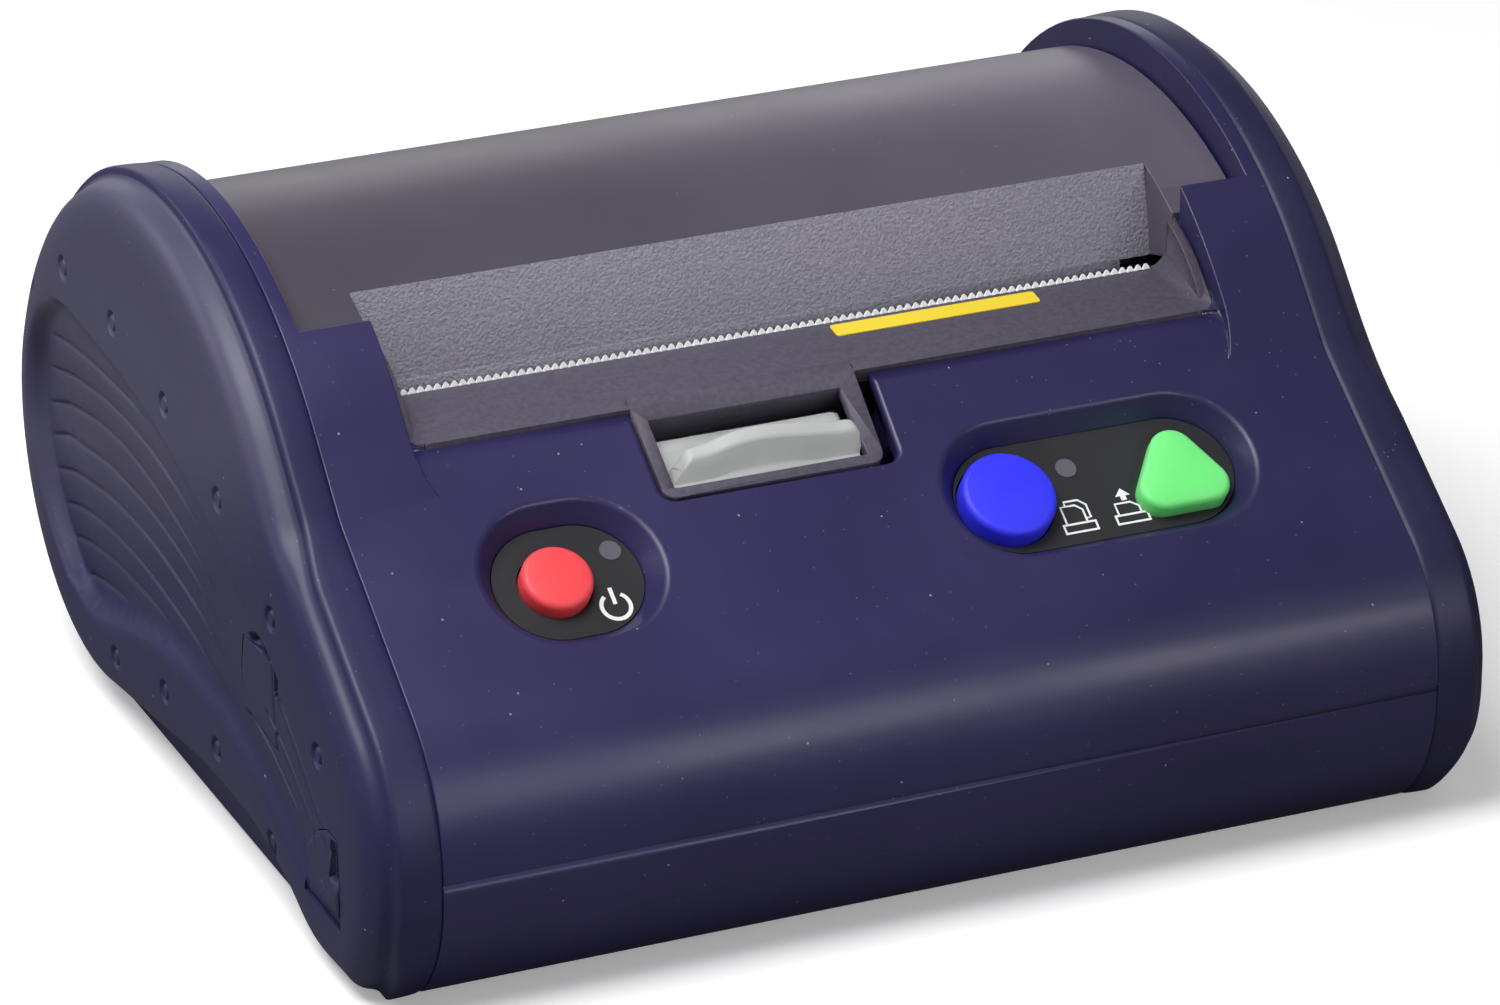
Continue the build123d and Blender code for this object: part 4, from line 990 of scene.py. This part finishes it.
def port_flap(name, outline):
    """Flap cut from the cap's face, with its ribs running on, a broken edge and a rounded foot."""
    loop = dense_loop(outline, HOLE_STEP)
    laid = spaced_out(feature_points(True), LAID_CLEAR)
    rim = dense_loop(grown(outline, -FLAP_RIM), HOLE_STEP)
    laid = laid[inside(laid, rim)]
    ys, zs = np.arange(*FLAP_GRID_Y, FLAP_GRID_STEP), np.arange(*FLAP_GRID_Z, FLAP_GRID_STEP)
    grid = np.array([(y, z) for z in zs for y in ys])
    grid = grid[inside(grid, rim)]
    free = np.vstack([rim, laid, spaced_out(grid, FLAP_CLEAR, np.vstack([laid, rim]))])
    flat, faces, count = triangulated(loop, [], free)
    height = profile_out(loop_distance(flat, cap_ring(0.0, 1.0)))
    height = height - fan_depth(flat, True)
    height = height - FLAP_CHAMFER * (1 - ease(loop_distance(flat, loop) / FLAP_CHAMFER_WIDTH))
    height = np.minimum(height, np.interp(flat[:, 1] - flat[:, 1].min(), FLAP_FOOT_UP, FLAP_FOOT_OUT))
    points = [(-x, y, z) for (y, z), x in zip(flat, height)]
    start = len(points)
    points += [(FLAP_BACK, y, z) for y, z in flat[:count]]
    quads = [tuple(int(v) for v in face) for face in faces]
    for i in range(count):
        j = (i + 1) % count
        quads.append((i, j, start + j, start + i))
    quads.append(tuple(range(start, start + count)))
    return new_piece(name, points, quads, FINISHES["cap_rubber"], 50.0)


put_on(cap_shell("cap_shell_left", -1, True), "left_end_cap")
put_on(cap_shell("cap_shell_right", 1, False), "right_end_cap")
put_on(port_flap("rear_port_flap", REAR_FLAP), "usb_port_flap")
put_on(port_flap("front_port_flap", FRONT_FLAP), "dc_port_flap")

# Casing halves and covers with their edges broken; the head cover's front edge closes its gap
PLATE_EDGE_Y = (-30.12, -29.78)
PLATE_EDGE_Z = 59.0
PLATE_EDGE_MOVE = 0.11
softened("upper_case", 0.25)
softened("lower_case", 0.22)
head = softened("head_cover", 0.18)
for vert in head.data.vertices:
    if PLATE_EDGE_Y[0] < vert.co.y / MM < PLATE_EDGE_Y[1] and vert.co.z / MM > PLATE_EDGE_Z:
        vert.co.y -= PLATE_EDGE_MOVE * MM

# The sanded wall over the paper slot, which has its own finish
RECESS_HALF = 57.6
RECESS_Y = (-11.4, -8.0)
RECESS_Z = (61.6, 74.2)
RECESS_FACING = -0.9


def mark_recess(piece):
    piece.data.materials.append(RECESS)
    for face in piece.data.polygons:
        x, y, z = face.center / MM
        placed = abs(x) < RECESS_HALF and RECESS_Y[0] < y < RECESS_Y[1] and RECESS_Z[0] < z < RECESS_Z[1]
        if placed and face.normal.y < RECESS_FACING:
            face.material_index = 1


mark_recess(softened("paper_cover", 0.14))

# Foot of the sanded wall, where it dips behind the blade
SKIRT_HALF = 53.2
SKIRT_ROUND = 0.2
SKIRT_NARROW = 0.15
SKIRT_PROFILE = [
    (-11.02, 61.95), (-11.28, 60.5), (-11.22, 60.15), (-11.0, 60.0), (-10.4, 60.0), (-9.9, 61.5),
    (-9.5, 61.95),
]

# Upturned ends of the head cover: how the plate's top runs, and the line of the ends' upper edge
PLATE_REAR = (-17.82, 62.9)
PLATE_FRONT = (-30.0, 61.11)
WING_EDGE = [(-17.4, 69.6), (-20.8, 68.0), (-23.6, 66.3), (-26.2, 64.1), (-28.4, 62.2), (-30.05, 61.15)]
WING_X0, WING_X1 = 54.6, 58.2
WING_TOP = 0.4
WING_ROUND = (0.25, 0.15)
WING_LIFT = 0.02
WING_SINK = 0.35
WING_LEAST = 0.03
WING_SWEEP, WING_POINTS = 84, 12


def recess_skirt():
    ends = [(SKIRT_HALF, SKIRT_NARROW), (SKIRT_HALF - SKIRT_ROUND, 0.0)]
    sections = []
    for x, narrow in [(-x, narrow) for x, narrow in ends] + ends[::-1]:
        sections.append([(x, y + narrow, z + narrow) for y, z in SKIRT_PROFILE])
    return swept("recess_skirt", sections, RECESS, 40.0)


def plate_height(y):
    """Height of the head cover's plate, which slopes evenly."""
    slope = (PLATE_REAR[1] - PLATE_FRONT[1]) / (PLATE_REAR[0] - PLATE_FRONT[0])
    return PLATE_REAR[1] + slope * (y - PLATE_REAR[0])


def head_wing(name, side):
    """The plate's end curls up to the ear's wall."""
    edge = through(WING_EDGE, 0.5)
    sections = []
    for y, z_edge in edge:
        z_plate = plate_height(y)
        foot, top = z_plate - WING_SINK, z_plate + WING_LIFT
        rise = max(WING_LEAST, z_edge - z_plate)
        section = [(side * WING_X0, y, foot)]
        for a in np.radians(np.linspace(0, WING_SWEEP, WING_POINTS)):
            x = WING_X0 + (WING_X1 - WING_TOP - WING_X0) * sin(a)
            section.append((side * x, y, top + rise * (1 - cos(a))))
        section.append((side * (WING_X1 - WING_ROUND[0]), y, top + rise))
        section.append((side * WING_X1, y, z_plate + rise - WING_ROUND[1]))
        section.append((side * WING_X1, y, foot))
        sections.append(section)
    return swept(name, sections, FINISHES["head_plastic"], 50.0)


skirt = recess_skirt()
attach(skirt, NODES["paper_cover"]["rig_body"])
for wing in (head_wing("head_wing_left", -1), head_wing("head_wing_right", 1)):
    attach(wing, NODES["head_cover"]["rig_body"])

# Tear blade: a thin bar, and its teeth set in a row
BLADE_Y0, BLADE_Y1 = -17.78, -17.3
BLADE_FOOT, BLADE_ROOT = 57.0, 62.85
BLADE_ROUND = (0.05, 0.1)
BLADE_HALF = 54.47
BLADE_TEETH = 92
TOOTH_OUTLINE = [(-0.58, -0.3), (-0.58, 0.0), (-0.44, 0.16), (-0.33, 0.38), (-0.22, 0.54), (-0.09, 0.63),
                 (0.09, 0.63), (0.22, 0.54), (0.33, 0.38), (0.44, 0.16), (0.58, 0.0), (0.58, -0.3)]
TOOTH_LEAN = 0.6


def one_tooth():
    """Tooth with a ground front face, as a mesh on its own."""
    front = [(x, BLADE_Y0 + TOOTH_LEAN * max(0.0, z), BLADE_ROOT + z) for x, z in TOOTH_OUTLINE]
    rear = [(x, BLADE_Y1, BLADE_ROOT + z) for x, z in TOOTH_OUTLINE]
    return new_piece("one_tooth", front + rear, prism_faces(len(front)), BLADE, 30.0)


def row_tree():
    """Repeats what it is given, at an even pitch."""
    tree, given = new_group(
        "row_of_teeth", "GeometryNodeTree",
        [
            ("Geometry", "NodeSocketGeometry", None), ("Count", "NodeSocketInt", 1),
            ("Start", "NodeSocketVector", None), ("Pitch", "NodeSocketVector", None),
            ("Finish", "NodeSocketMaterial", None),
        ],
        [("Geometry", "NodeSocketGeometry")],
    )
    line = add_node(
        tree, "GeometryNodeMeshLine", Count=given["Count"], Start_Location=given["Start"],
        Offset=given["Pitch"],
    )
    line.mode = "OFFSET"
    put = add_node(
        tree, "GeometryNodeInstanceOnPoints", Points=line.outputs["Mesh"], Instance=given["Geometry"]
    )
    whole = add_node(tree, "GeometryNodeRealizeInstances", Geometry=put.outputs["Instances"])
    paint = add_node(
        tree, "GeometryNodeSetMaterial", Geometry=whole.outputs["Geometry"], Material=given["Finish"]
    )
    add_node(tree, "NodeGroupOutput", Geometry=paint.outputs["Geometry"])
    return tree


def blade_teeth():
    """The teeth lie about the middle of the blade."""
    row = one_tooth()
    row.name = "blade_teeth"
    repeat = row.modifiers.new("row", "NODES")
    repeat.node_group = row_tree()
    sockets = repeat.node_group.interface.items_tree
    keys = {socket.name: socket.identifier for socket in sockets if socket.in_out == "INPUT"}
    pitch = 2 * BLADE_HALF / BLADE_TEETH
    repeat[keys["Count"]] = BLADE_TEETH
    repeat[keys["Start"]] = ((-BLADE_HALF + pitch / 2) * MM, 0.0, 0.0)
    repeat[keys["Pitch"]] = (pitch * MM, 0.0, 0.0)
    repeat[keys["Finish"]] = BLADE
    finish_modifiers(row)
    shade(row.data, 30.0)
    return row


def blade_bar():
    top, foot = BLADE_ROUND
    profile = [
        (BLADE_Y0, BLADE_FOOT + foot), (BLADE_Y0, BLADE_ROOT - top), (BLADE_Y0 + top, BLADE_ROOT),
        (BLADE_Y1, BLADE_ROOT), (BLADE_Y1, BLADE_FOOT + foot), (BLADE_Y1 - foot, BLADE_FOOT),
        (BLADE_Y0 + foot, BLADE_FOOT),
    ]
    sections = [[(x, y, z) for y, z in profile] for x in (-BLADE_HALF, 0.0, BLADE_HALF)]
    return swept("blade_bar", sections, FINISHES["steel"], 30.0)


put_on(blade_bar(), "tear_blade")
teeth = blade_teeth()
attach(teeth, NODES["tear_blade"]["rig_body"])

# Plain film on the head cover, its corners rounded
FILM_X = (6.2, 36.2)
FILM_Y = (-21.5, -18.7)
FILM_CORNER = 0.45
FILM_STEPS = [(0.0, 0.0), (0.0, 0.11), (0.04, 0.14)]


def index_film():
    left, right = FILM_X[0] + FILM_CORNER, FILM_X[1] - FILM_CORNER
    near, far = FILM_Y[0] + FILM_CORNER, FILM_Y[1] - FILM_CORNER
    loop = []
    for i, corner in enumerate(((right, far), (left, far), (left, near), (right, near))):
        loop += [polar(corner, FILM_CORNER, 90 * i + a) for a in range(0, 91, 15)]
    rings = []
    for inset, lift in FILM_STEPS:
        rings.append([(x, y, plate_height(y) + lift) for x, y in grown(np.array(loop), -inset)])
    return swept("index_film", rings, FINISHES["strip_yellow"], 30.0)


put_on(index_film(), "index_strip")

# Release lever: a finger plate with a waved lip. The lip's outline, its foot's arch and both its ends
LIP_FRONT_TOP = [(-24.9, 55.9), (-24.2, 56.2), (-22.8, 56.35), (-20.8, 56.4), (-18.8, 56.65), (-15.6, 57.4),
                 (-11.8, 57.65), (-6.7, 57.2), (-1.2, 56.55), (0.6, 56.55), (2.3, 56.4)]
LIP_ARCH = [(-19.0, 0.0), (-16.5, 0.6), (-12.8, 0.95), (-8.7, 0.8), (-5.3, 0.2), (-3.6, 0.0)]
LIP_FOOT = (-25.3, 1.55)
LIP_HEAD = (-22.9, 2.25)
LIP_SECTIONS = 73
LIP_END, LIP_END_DROP = 0.05, 1.1
LIP_LEAN = (0.62, 0.25)
LIP_SWELL = (0.25, 0.3)
LIP_FOOT_Z = 52.1
LIP_TAPER = 1.6

# The solid's own lip is kept inside it
LIP_TRIM_Y, LIP_TRIM_Z = -35.7, 54.2
LIP_TRIM_X = (-22.2, 0.6)
LIP_TRIM_SCALE = 0.45


def lever_lip():
    """The lip the finger pushes: a thick plate whose top edge waves and whose foot is scooped out."""
    top = through(LIP_FRONT_TOP, 0.25)
    sections = []
    for t in np.linspace(0, 1, LIP_SECTIONS):
        x_foot = LIP_FOOT[0] + t * (LIP_FOOT[1] - LIP_FOOT[0])
        x_head = LIP_HEAD[0] + t * (LIP_HEAD[1] - LIP_HEAD[0])
        z_front = float(np.interp(x_head, top[:, 0], top[:, 1]))
        end = min(1.0, min(t, 1 - t) / LIP_END)
        z_front -= LIP_END_DROP * (1 - end) ** 2
        swell = ease(t / LIP_SWELL[0]) * ease((1 - t) / LIP_SWELL[1])
        z_back = z_front + LIP_LEAN[0] + LIP_LEAN[1] * swell
        arch = float(np.interp(x_foot, *zip(*LIP_ARCH)))
        profile = [
            (-37.2, LIP_FOOT_Z), (-38.9 - 0.75 * arch, 52.15), (-39.0 - 0.55 * arch, 52.75),
            (-38.85 - 0.2 * arch, 53.0 + 0.35 * arch), (-38.7, 53.1 + 0.75 * arch),
            (-38.62, 53.3 + 1.0 * arch), (-38.4, 54.9), (-38.15, z_front - 0.45), (-38.05, z_front - 0.12),
            (-37.85, z_front + 0.12), (-37.4, z_front + 0.32), (-36.9, z_back - 0.12),
            (-36.4, z_back + 0.02), (-36.0, z_back - 0.12), (-35.8, z_back - 0.5), (-35.75, z_back - 1.4),
            (-35.7, 55.2), (-35.9, 53.2),
        ]
        section = []
        for y, z in profile:
            k = min(1.0, max(0.0, (z - LIP_FOOT_Z) / (z_front - LIP_FOOT_Z))) ** LIP_TAPER
            section.append((x_foot + (x_head - x_foot) * k, y, z))
        sections.append(section)
    return swept("lever_lip", sections, FINISHES["lever_plastic"], 50.0)


lip = lever_lip()
plate = softened("release_lever", 0.2)
for vert in plate.data.vertices:
    if vert.co.y / MM < LIP_TRIM_Y and vert.co.z / MM > LIP_TRIM_Z:
        vert.co.x = min(max(vert.co.x, LIP_TRIM_X[0] * MM), LIP_TRIM_X[1] * MM)
        vert.co.z = (LIP_TRIM_Z + LIP_TRIM_SCALE * (vert.co.z / MM - LIP_TRIM_Z)) * MM
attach(lip, NODES["release_lever"]["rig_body"])


# Push buttons: each head gets a full round at its edge and a slightly domed top
KEY_ROOT = -6.25
KEY_ROUND = 0.95
KEY_DOME = 0.16
KEY_DOME_STEPS = [(0.55, 0.4), (1.3, 1.0)]
KEY_CUT = -6.15
POWER_KEY, POWER_KEY_R, POWER_KEY_TOP = (-44.9, 9.1), 4.8, -0.7
REPRINT_KEY, REPRINT_KEY_R, REPRINT_KEY_TOP = (18.9, 9.0), 6.5, -0.1
FEED_CORNERS = np.array([(44.0, 11.9), (47.2, 5.7), (39.8, 5.7)])
FEED_CORNER_R = 2.7
FEED_ROUNDER = 0.5
FEED_KEY_TOP = -0.4


def heading(along):
    """Direction of a vector in degrees."""
    return degrees(np.arctan2(along[1], along[0]))


def round_outline(centre, radius):
    return np.array([polar(centre, radius, a) for a in range(0, 360, 5)])


def feed_outline():
    """Three round corners joined by straight sides."""
    middle = FEED_CORNERS.mean(axis=0)
    radius = FEED_CORNER_R + FEED_ROUNDER
    loop = []
    for i, corner in enumerate(FEED_CORNERS):
        centre = corner + FEED_ROUNDER * (middle - corner) / np.linalg.norm(middle - corner)
        start = heading(corner - FEED_CORNERS[i - 1]) + 90
        turn = heading(FEED_CORNERS[(i + 1) % 3] - corner) + 90
        sweep = (turn - start) % -360
        loop += [polar(centre, radius, start + sweep * t) for t in np.linspace(0, 1, 19)]
    return dense_loop(np.array(loop), 0.5)


def rounded_key(node, loop, top, slot):
    """The button's head is drawn anew; its flange and stem stay as in the part."""
    steps = [(0.0, KEY_ROOT), (0.0, top - KEY_ROUND)]
    for a in np.radians(range(10, 91, 10)):
        steps.append((KEY_ROUND * (1 - cos(a)), top - KEY_ROUND * (1 - sin(a))))
    steps += [(KEY_ROUND + inset, top + share * KEY_DOME) for inset, share in KEY_DOME_STEPS]
    sections = []
    for inset, out in steps:
        sections.append([panel_spot(x, along, out) for x, along in grown(loop, -inset)])
    head = swept("head_of_" + node, sections, FINISHES[slot], 40.0)
    work = bmesh.new()
    work.from_mesh(NODES[node].data)
    cut = bmesh.ops.bisect_plane(
        work, geom=[*work.verts, *work.edges, *work.faces], plane_co=Vector(panel_spot(0, 0, KEY_CUT)) * MM,
        plane_no=Vector((0, *OUT_PANEL)), clear_outer=True,
    )
    rim = [g for g in cut["geom_cut"] if isinstance(g, bmesh.types.BMEdge)]
    bmesh.ops.holes_fill(work, edges=rim, sides=0)
    work.from_mesh(head.data)
    work.to_mesh(head.data)
    work.free()
    for face in head.data.polygons:
        face.material_index = 0
    shade(head.data, 40.0)
    put_on(head, node)


rounded_key("power_button", round_outline(POWER_KEY, POWER_KEY_R), POWER_KEY_TOP, "button_red")
rounded_key("reprint_button", round_outline(REPRINT_KEY, REPRINT_KEY_R), REPRINT_KEY_TOP, "button_blue")
rounded_key("feed_button", feed_outline(), FEED_KEY_TOP, "button_green")

# Printed symbols on the two dark panels, as (X, distance up the panel)
PRINT_FOOT = -3.03
PRINT_TOP = -2.97
POWER_SIGN = (-38.0, 4.8)
POWER_RING_R, POWER_RING_DROP, POWER_BAR = 1.95, 0.3, (0.0, 1.2, 2.5)
POWER_STROKE = 0.55
PAGES_SIGN = (27.9, 5.28)
FEED_SIGN = (35.5, 5.28)
SIGN_SCALE = 0.8
SIGN_STROKE = 0.3
TRAY = [(-2.9, -3.0), (2.9, -3.0), (2.9, -1.4), (-2.9, -1.4)]
SHEET = [(-2.2, -1.4), (-2.2, 2.1), (0.4, 2.1), (1.5, 1.1), (1.5, -1.4)]
SHEET_BEHIND = [(-1.3, 2.2), (-1.3, 3.0), (1.2, 3.0), (2.4, 1.9), (2.4, -0.6), (1.6, -0.6)]
LOW_SHEET = [(-2.2, -1.4), (-2.2, 0.9), (0.6, 0.9), (1.9, -0.1), (1.9, -1.4)]
ARROW = [(-0.7, 1.4), (0.3, 1.4), (0.3, 2.25), (1.15, 2.25), (-0.2, 3.7), (-1.55, 2.25), (-0.7, 2.25)]


def stroke(name, lines, width):
    """Flat printed lines on the panel. Each line comes with whether it closes on itself."""
    points, faces = [], []
    for line, closed in lines:
        p = np.array(line, float)
        ahead = np.roll(p, -1, axis=0) - p if closed else np.gradient(p, axis=0)
        back = p - np.roll(p, 1, axis=0) if closed else ahead
        out = mitred(back, ahead)
        start = len(points)
        for side, height in ((1, PRINT_FOOT), (-1, PRINT_FOOT), (-1, PRINT_TOP), (1, PRINT_TOP)):
            points += [panel_spot(x, s, height) for x, s in p + side * out * width / 2]
        n = len(p)
        for i in range(n if closed else n - 1):
            j = (i + 1) % n
            for k in range(4):
                m = (k + 1) % 4
                faces.append((start + k * n + i, start + k * n + j, start + m * n + j, start + m * n + i))
        if not closed:
            faces.append(tuple(start + k * n for k in range(4)))
            faces.append(tuple(start + k * n + n - 1 for k in range(4)))
    piece = new_piece(name, points, faces, PRINT, 30.0)
    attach(piece, "casing")


def sign_spots(place, points):
    return [(place[0] + SIGN_SCALE * x, place[1] + SIGN_SCALE * up) for x, up in points]


def power_sign():
    x0, s0 = POWER_SIGN
    ring = [polar((x0, s0 - POWER_RING_DROP), POWER_RING_R, 90 - a) for a in range(35, 326, 10)]
    bar = [(x0, s0 + up) for up in POWER_BAR]
    stroke("power_sign", [(ring, False), (bar, False)], POWER_STROKE)


def pages_sign():
    tray, sheet, behind = (sign_spots(PAGES_SIGN, line) for line in (TRAY, SHEET, SHEET_BEHIND))
    stroke("pages_sign", [(tray, True), (sheet, False), (behind, False)], SIGN_STROKE)


def feed_sign():
    tray, sheet, arrow = (sign_spots(FEED_SIGN, line) for line in (TRAY, LOW_SHEET, ARROW))
    stroke("feed_sign", [(tray, True), (sheet, False)], SIGN_STROKE)
    low, high = ([panel_spot(x, along, out) for x, along in arrow] for out in (PRINT_FOOT, PRINT_TOP))
    arrow = new_piece("feed_arrow", low + high, prism_faces(len(arrow)), PRINT, 30.0)
    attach(arrow, "casing")


power_sign()
pages_sign()
feed_sign()


# Floor
FLOOR_HALF = 6.0
FLOOR_SEEN_BY_LIGHT = (0.20, 0.20, 0.21, 1.0)
FLOOR_LIFT = (0.22, 0.22, 0.22, 1.0)
BLACK = (0.0, 0.0, 0.0, 1.0)


def floor_card():
    """Pale card that throws less light back on the object than the camera sees."""
    material = skin("floor_card", (250, 250, 251), (252, 252, 252), 0.9, depth=0.0, gloss=0.1)
    tree = material.node_tree
    shader = tree.nodes["Principled BSDF"]
    card = shader.inputs["Base Color"].links[0].from_socket
    seen = seen_by_camera(tree)
    feed(tree, shader.inputs["Base Color"], mix_colours(tree, seen, FLOOR_SEEN_BY_LIGHT, card))
    feed(tree, shader.inputs["Emission Color"], mix_colours(tree, seen, BLACK, FLOOR_LIFT))
    feed(tree, shader.inputs["Emission Strength"], 1.0)
    return material


floor_mesh = bpy.data.meshes.new("floor")
floor_corners = [(x * FLOOR_HALF, y * FLOOR_HALF, 0) for x, y in ((-1, -1), (1, -1), (1, 1), (-1, 1))]
floor_mesh.from_pydata(floor_corners, [], [(0, 1, 2, 3)])
floor_mesh.materials.append(floor_card())
floor = bpy.data.objects.new("floor", floor_mesh)
SCENE.collection.objects.link(floor)
